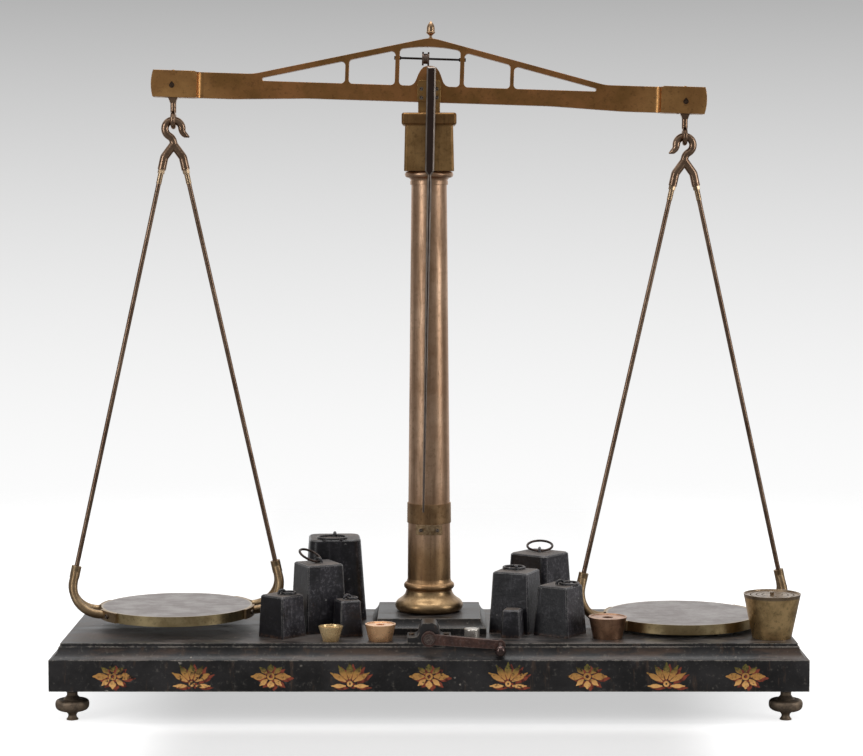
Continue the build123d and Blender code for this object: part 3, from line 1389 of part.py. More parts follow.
def ring_frame(iron):
    """A plane whose x runs from the staple out along the ring, leaned up about the staple."""
    turn = math.radians(iron.ring_turn)
    lean = math.radians(iron.lean)
    out = Vector(math.cos(turn) * math.cos(lean), math.sin(turn) * math.cos(lean), math.sin(lean))
    across = Vector(-math.sin(turn), math.cos(turn), 0)
    return Plane(origin=ring_pin(iron), x_dir=out, z_dir=out.cross(across))


def add_ring(iron):
    with Locations(ring_frame(iron).location * Location((iron.ring, 0, 0))):
        Torus(iron.ring, RING_WIRE_R)


for iron in IRONS:
    with BuildPart() as weight:
        for width, z in ((iron.foot, DECK_Z), (iron.top, iron_top(iron) - 1.6), (iron.top - 3.2, iron_top(iron))):
            with BuildSketch(Plane.XY.offset(z)) as level:
                with Locations(Location((iron.x, iron.y, 0), (0, 0, iron.turn))):
                    RectangleRounded(width, width, iron.corner) if iron.corner > 5 else Rectangle(width, width)
                if iron.corner <= 5:
                    chamfer(level.vertices(), iron.corner * width / iron.foot)
        loft(ruled=True)
        if iron.ring:
            ring_plane = ring_frame(iron)
            flat_out = Vector(math.cos(math.radians(iron.ring_turn)), math.sin(math.radians(iron.ring_turn)), 0)
            staple = Plane(
                origin=(iron.x, iron.y, iron_top(iron) + STAPLE_LIFT),
                x_dir=flat_out,
                z_dir=Vector(0, 0, 1).cross(flat_out),
            )
            with Locations(staple.location):
                Torus(STAPLE_R, STAPLE_WIRE_R)
            if not iron.lean:
                add_ring(iron)
    save(weight, iron.name)
    if iron.ring and iron.lean:
        with BuildPart() as loose_ring:
            add_ring(iron)
        save(loose_ring, iron.name.replace("iron_weight", "weight_ring"))

# Cup weights, turned in brass, copper and nickel
Cup = namedtuple("Cup", "name x y foot_r top_r height recess grooves knob_r")
CUPS = (
    Cup("brass_cup_weight_small", -119, 17.4 - deck_front, 9.5, 15.0, 18.0, 2.5, (), 0),
    Cup("copper_cup_weight_left", -59, 22.4 - deck_front, 14.2, 18.7, 20.0, 1.0, (5.0,), 0),
    Cup("copper_cup_weight_right", 218, 40.4 - deck_front, 17.8, 23.4, 26.0, 1.0, (6.5,), 0),
    Cup("brass_cup_nest", BASE_W / 2 - 38.4, 42.4 - deck_front, 23.8, 34.8, 54.0, 1.6, (27.0, 20.0, 13.0), 2.6),
    Cup("nickel_cylinder_weight", 52, 28.4 - deck_front, 9.4, 9.4, 13.6, 0.0, (), 0),
)
for cup in CUPS:
    with BuildPart() as weight:
        with BuildSketch(Plane.XZ.offset(-cup.y)):
            with BuildLine():
                rim = DECK_Z + cup.height
                Polyline((cup.x, DECK_Z), (cup.x + cup.foot_r, DECK_Z), (cup.x + cup.top_r, rim))
                if cup.recess:
                    Polyline(
                        (cup.x + cup.top_r, rim),
                        (cup.x + cup.top_r - 1.6, rim),
                        (cup.x + cup.top_r - 2.4, rim - cup.recess),
                        (cup.x, rim - cup.recess),
                        (cup.x, DECK_Z),
                    )
                else:
                    Polyline((cup.x + cup.top_r, rim), (cup.x, rim), (cup.x, DECK_Z))
            make_face()
        revolve(axis=Axis((cup.x, cup.y, 0), (0, 0, 1)))
        if not cup.recess:
            fillet(weight.edges().group_by(Axis.Z)[-1], 1.4)
        for groove in cup.grooves:
            with BuildSketch(Plane.XY.offset(rim - cup.recess)):
                with Locations((cup.x, cup.y)):
                    Circle(groove)
                    if groove > 8:
                        Circle(groove - 1.2, mode=Mode.SUBTRACT)
            extrude(amount=-1.5 if groove > 8 else -7.0, mode=Mode.SUBTRACT)
        if cup.knob_r:
            with BuildSketch(Plane.XY.offset(rim - cup.recess)):
                with Locations((cup.x, cup.y)):
                    Circle(cup.knob_r)
            extrude(amount=3.4)
    save(weight, cup.name)
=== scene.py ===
import math

import bpy
from mathutils import Matrix, Vector


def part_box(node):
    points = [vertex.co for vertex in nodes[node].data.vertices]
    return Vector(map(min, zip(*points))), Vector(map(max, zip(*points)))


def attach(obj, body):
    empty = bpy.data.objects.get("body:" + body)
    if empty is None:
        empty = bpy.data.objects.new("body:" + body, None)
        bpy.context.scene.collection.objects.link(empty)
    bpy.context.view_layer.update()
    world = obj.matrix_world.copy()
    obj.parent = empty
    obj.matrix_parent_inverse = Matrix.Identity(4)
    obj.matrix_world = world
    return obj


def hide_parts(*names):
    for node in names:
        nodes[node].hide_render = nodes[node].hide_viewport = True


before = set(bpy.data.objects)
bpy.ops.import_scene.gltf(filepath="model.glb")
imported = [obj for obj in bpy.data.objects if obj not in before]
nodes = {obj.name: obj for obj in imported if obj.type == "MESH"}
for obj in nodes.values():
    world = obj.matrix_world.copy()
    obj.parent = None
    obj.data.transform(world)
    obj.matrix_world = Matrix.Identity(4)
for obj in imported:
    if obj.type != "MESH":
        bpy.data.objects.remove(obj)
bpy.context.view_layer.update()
mm = 0.001
X, Y, Z = 0, 1, 2

# Studio
# A white round floor that fades into a backdrop, grey above and white below. Its glow is painted greyer
# in front of the base as a painted shadow, and whiter beyond the base's ends as painted light. Two upright
# soft boxes stand left and right of a long lens and a third hangs above, in a room that is dark in front and
# bright behind.
FLOOR_R = 2.6
FLOOR_CORNERS = 96
FLOOR_FADE = 0.9            # how far out the floor starts to fade into the backdrop
FLOOR_GONE = FLOOR_R * 0.96
FLOOR_WHITE = 0.80
FLOOR_IN_METAL = 0.52       # how much darker the floor is where metal mirrors it
FLOOR_GLOW = 0.54
FLOOR_PAINTED_SHADOW = 0.31            # how much greyer the floor is painted in front of the base: a painted shadow
PAINTED_SHADOW_STARTS = (0.12, 0.215)  # metres in front of the column
PAINTED_SHADOW_ENDS = (0.33, 0.80)
PAINTED_SHADOW_SIDES = (0.25, 0.43)    # metres to its left and right
FLOOR_PAINTED_LIGHT = 0.24           # and how much whiter it is painted beyond the base's ends: painted light
PAINTED_LIGHT_SIDES = (0.28, 0.42)
CAMERA_AT = (3.0 * mm, -3.07, 0.627)
CAMERA_DOWN = 4.1           # degrees below level
LENS = 103.04
SENSOR_WIDE = 36
SEES_TO = 30
GREY_FROM = -0.155          # the sine of the angle where the backdrop starts to darken, looking up
GREY_RATE = 6.4
GREY_CURVE = 1.7
GREY_DARKEST = 0.3
AMBIENT = 0.34
ROOM_FRONT = 0.20           # what metal mirrors of the room in front, behind and above
ROOM_BACK = 0.95
ROOM_TOP = 0.55
BEHIND = (0.30, 0.95)       # how far back a direction points where that light sets in, and is full
OVERHEAD = (0.35, 0.9)      # and how far up
EDGE_SAMPLES = 4
EDGE_TURN = (0.005, 0.16)   # how much a normal turns from a flat to a sharp edge


class Value:
    """A shader socket that ordinary arithmetic works on."""

    def __init__(self, paint, socket):
        self.paint = paint
        self.socket = socket

    def joined(self, operation, left, right, clamp=False):
        settings = {"operation": operation, "use_clamp": clamp}
        return self.paint.node("ShaderNodeMath", settings, {0: left, 1: right})

    def __add__(self, other):
        return self.joined("ADD", self, other)

    def __radd__(self, other):
        return self.joined("ADD", other, self)

    def __sub__(self, other):
        return self.joined("SUBTRACT", self, other)

    def __rsub__(self, other):
        return self.joined("SUBTRACT", other, self)

    def __mul__(self, other):
        return self.joined("MULTIPLY", self, other)

    def __rmul__(self, other):
        return self.joined("MULTIPLY", other, self)

    def __truediv__(self, other):
        return self.joined("DIVIDE", self, other)

    def __pow__(self, other):
        return self.joined("POWER", self, other)

    def clamped(self):
        return self.joined("ADD", self, 0.0, clamp=True)

    def larger(self, other):
        return self.joined("MAXIMUM", self, other)

    def unsigned(self):
        return self.paint.node("ShaderNodeMath", {"operation": "ABSOLUTE"}, {0: self})

    def step(self, low, high):
        """0 below low, 1 above high, and smooth between."""
        settings = {"interpolation_type": "SMOOTHSTEP"}
        return self.paint.node("ShaderNodeMapRange", settings, {0: self, 1: low, 2: high})


class Paint:
    """A node tree being written: its nodes, and the patterns that the finishes share."""

    def __init__(self, tree):
        self.tree = tree

    def node(self, kind, settings=None, sockets=None, output=0):
        made = self.tree.nodes.new(kind)
        for name, value in (settings or {}).items():
            setattr(made, name, value)
        for name, value in (sockets or {}).items():
            if isinstance(value, Value):
                self.tree.links.new(value.socket, made.inputs[name])
            else:
                made.inputs[name].default_value = value
        return Value(self, made.outputs[output])

    def ray(self, kind):
        """1 for the rays of that kind."""
        return self.node("ShaderNodeLightPath", output=f"Is {kind} Ray")

    def place(self):
        return self.node("ShaderNodeTexCoord", output="Object")

    def axis(self, which):
        return self.node("ShaderNodeSeparateXYZ", None, {0: self.place()}, which)

    def noise(self, size, detail, roughness=0.55, stretch=(1, 1, 1), at=(0, 0, 0)):
        """Cloudy noise whose blotches are about that many metres across."""
        sockets = {"Vector": self.place(), "Location": at, "Scale": stretch}
        spot = self.node("ShaderNodeMapping", None, sockets)
        sockets = {"Vector": spot, "Scale": 1 / size, "Detail": detail, "Roughness": roughness}
        return self.node("ShaderNodeTexNoise", None, sockets)

    def cells(self, size):
        """The distance to the nearest of many scattered points, drawn ragged by a finer noise."""
        sockets = {"Vector": self.place(), "Scale": 4 / size, "Detail": 3.0}
        torn = self.node("ShaderNodeTexNoise", None, sockets, "Color")
        torn = self.node("ShaderNodeVectorMath", {"operation": "SCALE"}, {0: torn, "Scale": size * 0.5})
        spot = self.node("ShaderNodeVectorMath", {"operation": "ADD"}, {0: self.place(), 1: torn})
        return self.node("ShaderNodeTexVoronoi", None, {"Vector": spot, "Scale": 1 / size})

    def mix(self, share, first, second):
        """A colour between two, by a share from 0 to 1."""
        sockets = {0: share, 6: first, 7: second}
        return self.node("ShaderNodeMix", {"data_type": "RGBA", "clamp_factor": True}, sockets, 2)

    def layered(self, colour, *coats):
        """A colour under coats of paint, each the share that it covers and its tone."""
        for share, tone in coats:
            colour = self.mix(share, colour, tone)
        return colour

    def facing(self, axis):
        """How far the surface faces along a world axis: 1 along it, -1 against it."""
        normal = self.node("ShaderNodeNewGeometry", output="Normal")
        return self.node("ShaderNodeSeparateXYZ", None, {0: normal}, axis)

    def softened(self, radius):
        """The surface's normal, with the edges rounded."""
        return self.node("ShaderNodeBevel", {"samples": EDGE_SAMPLES}, {"Radius": radius})

    def rubbed(self, radius):
        """1 where an edge or a corner stands out within the radius, and 0 on flats."""
        true = self.node("ShaderNodeNewGeometry", output="Normal")
        sockets = {0: self.softened(radius), 1: true}
        turned = self.node("ShaderNodeVectorMath", {"operation": "DOT_PRODUCT"}, sockets, "Value")
        return (1 - turned).step(*EDGE_TURN)

    def bumped(self, height, strength, depth, normal=None):
        sockets = {"Strength": strength, "Distance": depth, "Height": height}
        if normal:
            sockets["Normal"] = normal
        return self.node("ShaderNodeBump", None, sockets)


class Finish(Paint):
    """A material with one Principled shader."""

    def __init__(self, name, **plain):
        self.material = bpy.data.materials.new(name)
        self.material.use_nodes = True
        super().__init__(self.material.node_tree)
        self.shader = self.tree.nodes["Principled BSDF"]
        for socket, value in plain.items():
            self.shader.inputs[socket.replace("_", " ")].default_value = value

    def feed(self, **sockets):
        for name, value in sockets.items():
            self.tree.links.new(value.socket, self.shader.inputs[name.replace("_", " ")])

    def on(self, *names):
        """Gives CAD nodes this finish."""
        for name in names:
            mesh = nodes[name].data
            mesh.materials.clear()
            mesh.materials.append(self.material)


def soft_box(name, place, aim, width, height, watts):
    lamp = bpy.data.lights.new(name, "AREA")
    lamp.shape = "RECTANGLE"
    lamp.size = width
    lamp.size_y = height
    lamp.energy = watts
    holder = bpy.data.objects.new(name, lamp)
    holder.location = place
    holder.rotation_euler = (Vector(aim) - Vector(place)).to_track_quat("-Z", "Y").to_euler()
    bpy.context.scene.collection.objects.link(holder)


bpy.ops.object.select_all(action="DESELECT")
bpy.ops.mesh.primitive_circle_add(vertices=FLOOR_CORNERS, radius=FLOOR_R, fill_type="NGON")
floor = bpy.context.active_object
floor.name = "studio_floor"
paper = Finish("studio_paper", Roughness=1.0, Specular_IOR_Level=0.0, Emission_Strength=1.0)
reach = paper.node("ShaderNodeVectorMath", {"operation": "LENGTH"}, {0: paper.place()}, "Value")
aside = paper.axis(X).unsigned()
ahead = paper.axis(Y) * -1
# Painted shadow in front of the base and painted light beyond its ends, both in the floor's glow.
painted_shadow = ahead.step(*PAINTED_SHADOW_STARTS) * (1 - ahead.step(*PAINTED_SHADOW_ENDS)) * (1 - aside.step(*PAINTED_SHADOW_SIDES))
painted_glow = FLOOR_GLOW - painted_shadow * FLOOR_PAINTED_SHADOW + aside.step(*PAINTED_LIGHT_SIDES) * FLOOR_PAINTED_LIGHT
paper.feed(
    Base_Color=FLOOR_WHITE - paper.ray("Glossy") * FLOOR_IN_METAL,
    Emission_Color=paper.ray("Camera") * painted_glow,
    Alpha=1 - reach.step(FLOOR_FADE, FLOOR_GONE),
)
floor.data.materials.append(paper.material)

world = bpy.data.worlds.new("studio")
world.use_nodes = True
bpy.context.scene.world = world
air = Paint(world.node_tree)
look = air.node("ShaderNodeTexCoord", output="Generated")
climb = air.node("ShaderNodeSeparateXYZ", None, {0: look}, Z)
depth = air.node("ShaderNodeSeparateXYZ", None, {0: look}, Y)
backdrop = (1 - (climb - GREY_FROM).larger(0) ** GREY_CURVE * GREY_RATE).larger(GREY_DARKEST)
room = ROOM_FRONT + depth.step(*BEHIND) * (ROOM_BACK - ROOM_FRONT) + climb.step(*OVERHEAD) * ROOM_TOP
direct = air.ray("Camera")
mirrored = (air.ray("Glossy") + air.ray("Transmission")).clamped()
light = direct * backdrop + (1 - direct) * (mirrored * room + (1 - mirrored) * AMBIENT)
background = world.node_tree.nodes["Background"]
background.inputs["Strength"].default_value = 1.0
world.node_tree.links.new(light.socket, background.inputs["Color"])

soft_box("left_box", place=(-1.62, -1.48, 0.95), aim=(0, 0, 0.45), width=0.46, height=1.4, watts=9.0)
soft_box("right_box", place=(2.02, -0.90, 0.90), aim=(0, 0, 0.45), width=0.46, height=1.4, watts=9.5)
soft_box("top_box", place=(0, 0.2, 2.5), aim=(0, 0, 0.2), width=1.8, height=1.2, watts=22)

camera = bpy.data.cameras.new("camera")
camera.lens = LENS
camera.sensor_width = SENSOR_WIDE
camera.sensor_fit = "HORIZONTAL"
camera.clip_end = SEES_TO
camera_holder = bpy.data.objects.new("camera", camera)
camera_holder.location = CAMERA_AT
camera_holder.rotation_euler = (math.radians(90 - CAMERA_DOWN), 0, 0)
bpy.context.scene.collection.objects.link(camera_holder)
bpy.context.scene.camera = camera_holder
bpy.context.scene.view_settings.view_transform = "Standard"

# Base and plinth
# Iron castings under black japan. Dust lies in streaks along the deck, the moulding is smeared brown, and
# the paint is chipped to bare metal along every edge.
JAPAN = (0.0078, 0.0070, 0.0072, 1)
JAPAN_DULL = (0.029, 0.0265, 0.027, 1)
DUST = (0.21, 0.20, 0.195, 1)
SMEAR_BROWN = (0.070, 0.042, 0.028, 1)
BARE_IRON = (0.46, 0.41, 0.35, 1)
ALONG_DECK = (0.22, 1, 1)
DOWN_SIDES = (1, 1, 0.16)
JAPAN_EDGE = 2.0 * mm       # how wide the paint is worn along an edge
JAPAN_SOFT = 1.2 * mm       # and how round the edge looks


def japanned(name, dust, smear, chips):
    """Black japan on cast iron: its share of dust, of brown smears and of chips."""
    finish = Finish(name, Metallic=0.0, Specular_IOR_Level=0.5)
    blotch = finish.noise(70 * mm, detail=6, roughness=0.62)
    fine = finish.noise(5 * mm, detail=5, roughness=0.7)
    streak = finish.noise(20 * mm, detail=6, roughness=0.68, stretch=ALONG_DECK, at=(2, 0, 1))
    scrape = finish.noise(10 * mm, detail=5, roughness=0.7, stretch=DOWN_SIDES, at=(5, 1, 0))
    upward = finish.facing(Z).step(0.55, 0.92)
    sloped = finish.facing(Z).step(0.06, 0.30)
    smeared = streak.step(0.44, 0.62) * sloped * smear
    scraped = scrape.step(0.56, 0.68) * (1 - upward) * 0.75
    settled = (upward * (streak * 0.65 + blotch * 0.35).step(0.44, 0.66) * dust).clamped()
    grain = fine.step(0.56, 0.72)
    thin = (streak * 0.5 + fine * 0.5).step(0.47 - chips, 0.56 - chips)
    worn = (finish.rubbed(JAPAN_EDGE) * thin).clamped()
    patchy = finish.noise(50 * mm, detail=3).step(0.60 - chips, 0.68 - chips)
    speck = (1 - finish.cells(13 * mm).step(0.06, 0.16)) * patchy
    colour = finish.layered(
        JAPAN,
        (blotch.step(0.36, 0.66), JAPAN_DULL),
        (smeared, SMEAR_BROWN),
        (scraped, SMEAR_BROWN),
        (settled, DUST),
        (grain * (0.15 + upward * 0.12), BARE_IRON),
        (worn * 0.8, BARE_IRON),
        (speck * 0.7, BARE_IRON),
    )
    height = fine * 0.5 + blotch * 0.8 + scrape * 0.4 - worn * 0.5 - speck * 0.3
    finish.feed(
        Base_Color=colour,
        Roughness=0.30 + settled * 0.35 + worn * 0.15 + streak * 0.16 + grain * 0.1,
        Normal=finish.bumped(height, 0.45, 1.0 * mm, finish.softened(JAPAN_SOFT)),
    )
    return finish


japanned("japanned_base", dust=0.62, smear=0.95, chips=0.03).on("base_casting")
japanned("japanned_plinth", dust=0.55, smear=0.4, chips=0.06).on("column_plinth")

# Painted fascia
# Leaf ornaments in gilt over a red drop shade, nine in a row, brushed on over the japan. The gilt is orange
# below and green-gold above, and a century of hands has rubbed most of it thin.
FASCIA_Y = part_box("base_casting")[0][Y]
FASCIA_MID_Z = 57.6 * mm
ORNAMENTS = 9
ORNAMENT_HALF = 15 * mm
PITCH = 95.0 * mm
SHADE_SHIFT = (3.8 * mm, -2.3 * mm)
GILT_TOP = (0.20, 0.165, 0.030, 1)
GILT_MID = (0.56, 0.27, 0.070, 1)
GILT_LOW = (0.93, 0.50, 0.165, 1)
SHADE_RED = (0.30, 0.060, 0.030, 1)
SHADE_DARK = (0.085, 0.018, 0.012, 1)
PAINT_T = 0.06 * mm
GILT_KEEP = 0.535           # the level of wear up to which the paint holds
SHADE_KEEP = 0.55
PAINT_FRAYS = 0.05          # and how far beyond it the last paint goes
LEAF_HALF = 0.5
LEAF_CORNERS = 14
TAPER_FROM = 0.3            # how far from the leaf's middle it narrows
TIP_NARROW = 0.5
ROOT_NARROW = 0.7
EYE_CORNERS = 20


def pick(piece, wanted):
    """Edit mode, with only the points selected that are wanted."""
    bpy.ops.object.mode_set(mode="EDIT")
    bpy.ops.mesh.select_mode(type="VERT")
    bpy.ops.mesh.select_all(action="DESELECT")
    bpy.ops.object.mode_set(mode="OBJECT")
    for point in piece.data.vertices:
        point.select = wanted(point.co)
    bpy.ops.object.mode_set(mode="EDIT")


def round_spot(radius, corners, hole=0):
    """A flat round of paint facing the front, with a hole where one is given."""
    bpy.ops.object.select_all(action="DESELECT")
    bpy.ops.mesh.primitive_circle_add(
        vertices=corners, radius=radius, fill_type="NGON", location=(0, 0, 0), rotation=(math.pi / 2, 0, 0)
    )
    made = bpy.context.active_object
    bpy.ops.object.transform_apply()
    if hole:
        pick(made, lambda point: True)
        bpy.ops.mesh.inset(thickness=radius - hole)
        bpy.ops.mesh.delete(type="FACE")
        bpy.ops.object.mode_set(mode="OBJECT")
    return made


def copied(piece, move):
    made = piece.copy()
    made.data = piece.data.copy()
    bpy.context.scene.collection.objects.link(made)
    made.matrix_world = move
    return made


def as_one(pieces, name):
    bpy.ops.object.select_all(action="DESELECT")
    for piece in pieces:
        piece.select_set(True)
    bpy.context.view_layer.objects.active = pieces[0]
    bpy.ops.object.join()
    bpy.ops.object.transform_apply()
    pieces[0].name = name
    return pieces[0]


# One leaf, a metre long and wide, standing on its root and narrowed towards root and tip.
leaf = round_spot(LEAF_HALF, LEAF_CORNERS)
pick(leaf, lambda point: point.z > TAPER_FROM)
bpy.ops.transform.resize(value=(TIP_NARROW, 1, 1))
pick(leaf, lambda point: point.z < -TAPER_FROM)
bpy.ops.transform.resize(value=(ROOT_NARROW, 1, 1))
pick(leaf, lambda point: True)
bpy.ops.transform.translate(value=(0, 0, LEAF_HALF))
bpy.ops.object.mode_set(mode="OBJECT")


def leaf_at(heart, out, length, width, turn):
    """A copy of the leaf, in millimetres from an ornament's heart and in degrees from the right."""
    heading = math.radians(turn)
    root = Vector((heart[0] + out * math.cos(heading), 0, heart[1] + out * math.sin(heading))) * mm
    size = Matrix.Diagonal((width * mm, 1, length * mm, 1))
    return copied(leaf, Matrix.Translation(root) @ Matrix.Rotation(math.pi / 2 - heading, 4, "Y") @ size)


# Each leaf's turn in degrees, then its length and width in millimetres.
ROSETTE_LEAVES = (
    (0, 19.0, 8.5), (90, 10.3, 8.5), (180, 19.0, 8.5), (270, 10.3, 8.5),
    (40, 12.5, 6.2), (140, 12.5, 6.2), (220, 12.5, 6.2), (320, 12.5, 6.2),
)
FAN_LEAVES = ((90, 21.5, 8.6), (58, 22.0, 7.2), (122, 22.0, 7.2), (30, 22.5, 6.6), (150, 22.5, 6.6))
LEAF_OUT = 5.2              # from the heart to a leaf's root, in millimetres
ROSETTE_EYE = 4.6 * mm
ROSETTE_HOLE = 2.2 * mm
FAN_EYE = 3.6 * mm
FAN_HOLE = 1.2 * mm
FAN_HEART = (0, -9.0)
TAIL_HEART = (4.4, -11.6)
TAIL_LONG = 18.5
TAIL_WIDE = 5.2

rounds = [round_spot(ROSETTE_EYE, EYE_CORNERS, ROSETTE_HOLE)]
rounds += [leaf_at((0, 0), LEAF_OUT, length, width, turn) for turn, length, width in ROSETTE_LEAVES]
rosette = as_one(rounds, "rosette")
fan = [round_spot(FAN_EYE, EYE_CORNERS, FAN_HOLE)]
fan[0].location.z = FAN_HEART[1] * mm
fan += [leaf_at(FAN_HEART, LEAF_OUT, length, width, turn) for turn, length, width in FAN_LEAVES]
for side in (-1, 1):
    fan.append(leaf_at((side * TAIL_HEART[0], TAIL_HEART[1]), 0, TAIL_LONG, TAIL_WIDE, 90 - side * 90))
palmette = as_one(fan, "palmette")


def ornament_row(name, shift, coat, paint):
    """One coat of paint for the whole row: rosettes and palmettes by turns."""
    ornaments = []
    for i in range(ORNAMENTS):
        along = (i - (ORNAMENTS - 1) / 2) * PITCH
        place = Vector((along + shift[0], FASCIA_Y - coat, FASCIA_MID_Z + shift[1]))
        ornaments.append(copied(palmette if i % 2 else rosette, Matrix.Translation(place)))
    row = as_one(ornaments, name)
    modifier = row.modifiers.new("coat", "SOLIDIFY")
    modifier.thickness = PAINT_T
    bpy.ops.object.modifier_apply(modifier="coat")
    row.data.materials.clear()
    row.data.materials.append(paint.material)
    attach(row, "stand")


def rubbed_paint(name, keep):
    """A coat of paint, and how much of it is left: the japan shows where it has gone."""
    finish = Finish(name, Roughness=0.42, Specular_IOR_Level=0.4)
    fine = finish.noise(6 * mm, detail=6, roughness=0.72)
    broad = finish.noise(45 * mm, detail=5, roughness=0.6, at=(3, 1, 2))
    return finish, 1 - (fine * 0.55 + broad * 0.45).step(keep, keep + PAINT_FRAYS)


gilt, gilt_left = rubbed_paint("fascia_gilt", GILT_KEEP)
rise = ((gilt.axis(Z) - (FASCIA_MID_Z - ORNAMENT_HALF)) / (2 * ORNAMENT_HALF)).clamped()
tarnish = gilt.noise(3.5 * mm, detail=5, roughness=0.7).step(0.50, 0.64) * (0.25 + rise * 0.6)
scuffs = gilt.noise(10 * mm, detail=5, roughness=0.7, at=(1, 7, 3)).step(0.42, 0.55)
gilt_left = gilt_left * (1 - rise.step(0.55, 1.0) * scuffs * 0.85)
gilt_tone = gilt.layered(
    GILT_LOW,
    (rise.step(0.10, 0.52), GILT_MID),
    (rise.step(0.50, 0.90), GILT_TOP),
    (tarnish, JAPAN),
)
gilt.feed(Base_Color=gilt.mix(gilt_left, JAPAN, gilt_tone), Roughness=0.36 + gilt_left * 0.10)
shade, shade_left = rubbed_paint("fascia_red", SHADE_KEEP)
shade_tone = shade.mix(shade.noise(6 * mm, detail=5).step(0.42, 0.66), SHADE_RED, SHADE_DARK)
shade.feed(Base_Color=shade.mix(shade_left, JAPAN, shade_tone))
ornament_row("fascia_shade", SHADE_SHIFT, PAINT_T, shade)
ornament_row("fascia_leaves", (0, 0), 2 * PAINT_T, gilt)
for pattern in (leaf, rosette, palmette):
    bpy.data.objects.remove(pattern)

# Column
# A drawn brass tube with upright brown stains, on a turned foot that is yellower. Above the index band
# the tube is painted rosier and brighter, partly its own tone and partly painted light from the soft boxes,
# whose light falls off lower down. The cast capital sits on its neck, and the index band and tab are fixed
# round it lower down.
# All the brass is browned by age: handled edges stay bright, and fine blotches cover it.
COLUMN_TONES = ((0.53, 0.335, 0.175, 1), (0.37, 0.215, 0.105, 1), (0.17, 0.10, 0.055, 1))
COLUMN_ROSY_LIT = ((0.66, 0.44, 0.295, 1), (0.47, 0.285, 0.175, 1))
FOOT_TONES = ((0.47, 0.32, 0.17, 1), (0.28, 0.175, 0.085, 1), (0.11, 0.065, 0.032, 1))
BAND_DARK = (0.09, 0.055, 0.025, 1)
CAPITAL_TONES = ((0.51, 0.30, 0.125, 1), (0.34, 0.19, 0.075, 1), BAND_DARK)
CROWN_TONES = ((0.36, 0.195, 0.078, 1), (0.24, 0.125, 0.048, 1))
BAND_TONES = ((0.42, 0.265, 0.14, 1), (0.27, 0.16, 0.08, 1), BAND_DARK)
TAB_TONES = ((0.46, 0.33, 0.20, 1), (0.24, 0.155, 0.08, 1), BAND_DARK)
BAND_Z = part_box("index_band")[0][Z]
BAND_BLEND = 50 * mm        # below the band the tube loses its rosy, painted-bright tone within this length
CROWN_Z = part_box("capital")[1][Z] - 17 * mm
CROWN_BLEND = 4 * mm
# Above the band the tube is painted rosier and brighter: its own tone, and painted light from the soft
# boxes.
COLUMN_TURN = (Z, BAND_Z - BAND_BLEND, BAND_Z, COLUMN_ROSY_LIT)
CROWN_TURN = (Z, CROWN_Z, CROWN_Z + CROWN_BLEND, CROWN_TONES)
BRASS_EDGE = 0.9 * mm
RELIEF_MOST = 0.5 * mm


def aged_brass(
    name, tones, polish, drawn=0.0, spread=30 * mm, fleck=0.45, soften=0.7 * mm, metal=1.0, turning=None,
    back_skin_and_shade=0.0,
):
    """Brass between three tones: bright, brown and dark.

    drawn is how strongly upright stains show, and soften how round its edges look. turning is an axis, the
    two distances from the origin between which the brass turns, and its bright and brown tones beyond them.
    The last argument is how much darker the brass is painted wherever the casting doesn't face the front:
    partly a skin left unfiled, partly painted shade on its back and top.
    """
    bright, brown, dark = tones
    finish = Finish(name, Metallic=metal)
    cloud = finish.noise(spread, detail=6, roughness=0.62)
    fine = finish.noise(4.5 * mm, detail=5, roughness=0.68)
    if turning:
        axis, start, end, (far_bright, far_brown) = turning
        turned = (finish.axis(axis).unsigned() + (cloud - 0.5) * (end - start) * 0.6).step(start, end)
        bright = finish.mix(turned, bright, far_bright)
        brown = finish.mix(turned, brown, far_brown)
    colour = finish.layered(brown, (cloud.step(0.34, 0.66), bright), (fine.step(0.50, 0.70) * fleck, dark))
    # Painted shade, with a skin left unfiled: darker wherever the casting doesn't face the front.
    if back_skin_and_shade:
        frontal = (finish.facing(Y) * -1).step(0.3, 0.8)
        colour = finish.mix((1 - frontal) * back_skin_and_shade, colour, dark)
    height = fine * 0.6 + cloud * 0.8
    rough = 1.0 - polish + (fine - 0.5) * 0.20 + (cloud - 0.5) * 0.14
    if drawn:
        lines = finish.noise(4.5 * mm, detail=4, roughness=0.65, stretch=(1, 1, 0.035))
        runs = finish.noise(16 * mm, detail=5, roughness=0.65, stretch=(1, 1, 0.12), at=(2, 4, 0))
        colour = finish.layered(
            colour,
            (lines.step(0.52, 0.66) * drawn * 0.8, dark),
            (runs.step(0.50, 0.64) * drawn * 0.7, dark),
        )
        rough = rough + runs.step(0.45, 0.65) * 0.12
        height = height + lines * 0.5
    colour = finish.mix(finish.rubbed(BRASS_EDGE) * 0.7 * fine.step(0.35, 0.6), colour, bright)
    relief = min(RELIEF_MOST, spread * 0.012)
    finish.feed(
        Base_Color=colour,
        Roughness=rough.clamped(),
        Normal=finish.bumped(height, 0.16, relief, finish.softened(soften)),
    )
    return finish


aged_brass(
    "column_brass", COLUMN_TONES, polish=0.62, drawn=0.42, spread=60 * mm, fleck=0.35, turning=COLUMN_TURN
).on("column_shaft")
aged_brass("column_foot_brass", FOOT_TONES, polish=0.64).on("column_foot")
aged_brass(
    "capital_brass", CAPITAL_TONES, polish=0.62, drawn=0.35, spread=25 * mm, turning=CROWN_TURN
).on("capital")
aged_brass("index_brass", BAND_TONES, polish=0.56, drawn=0.25, spread=20 * mm).on("index_band")
aged_brass("tab_brass", TAB_TONES, polish=0.50, spread=6 * mm).on("index_tab")

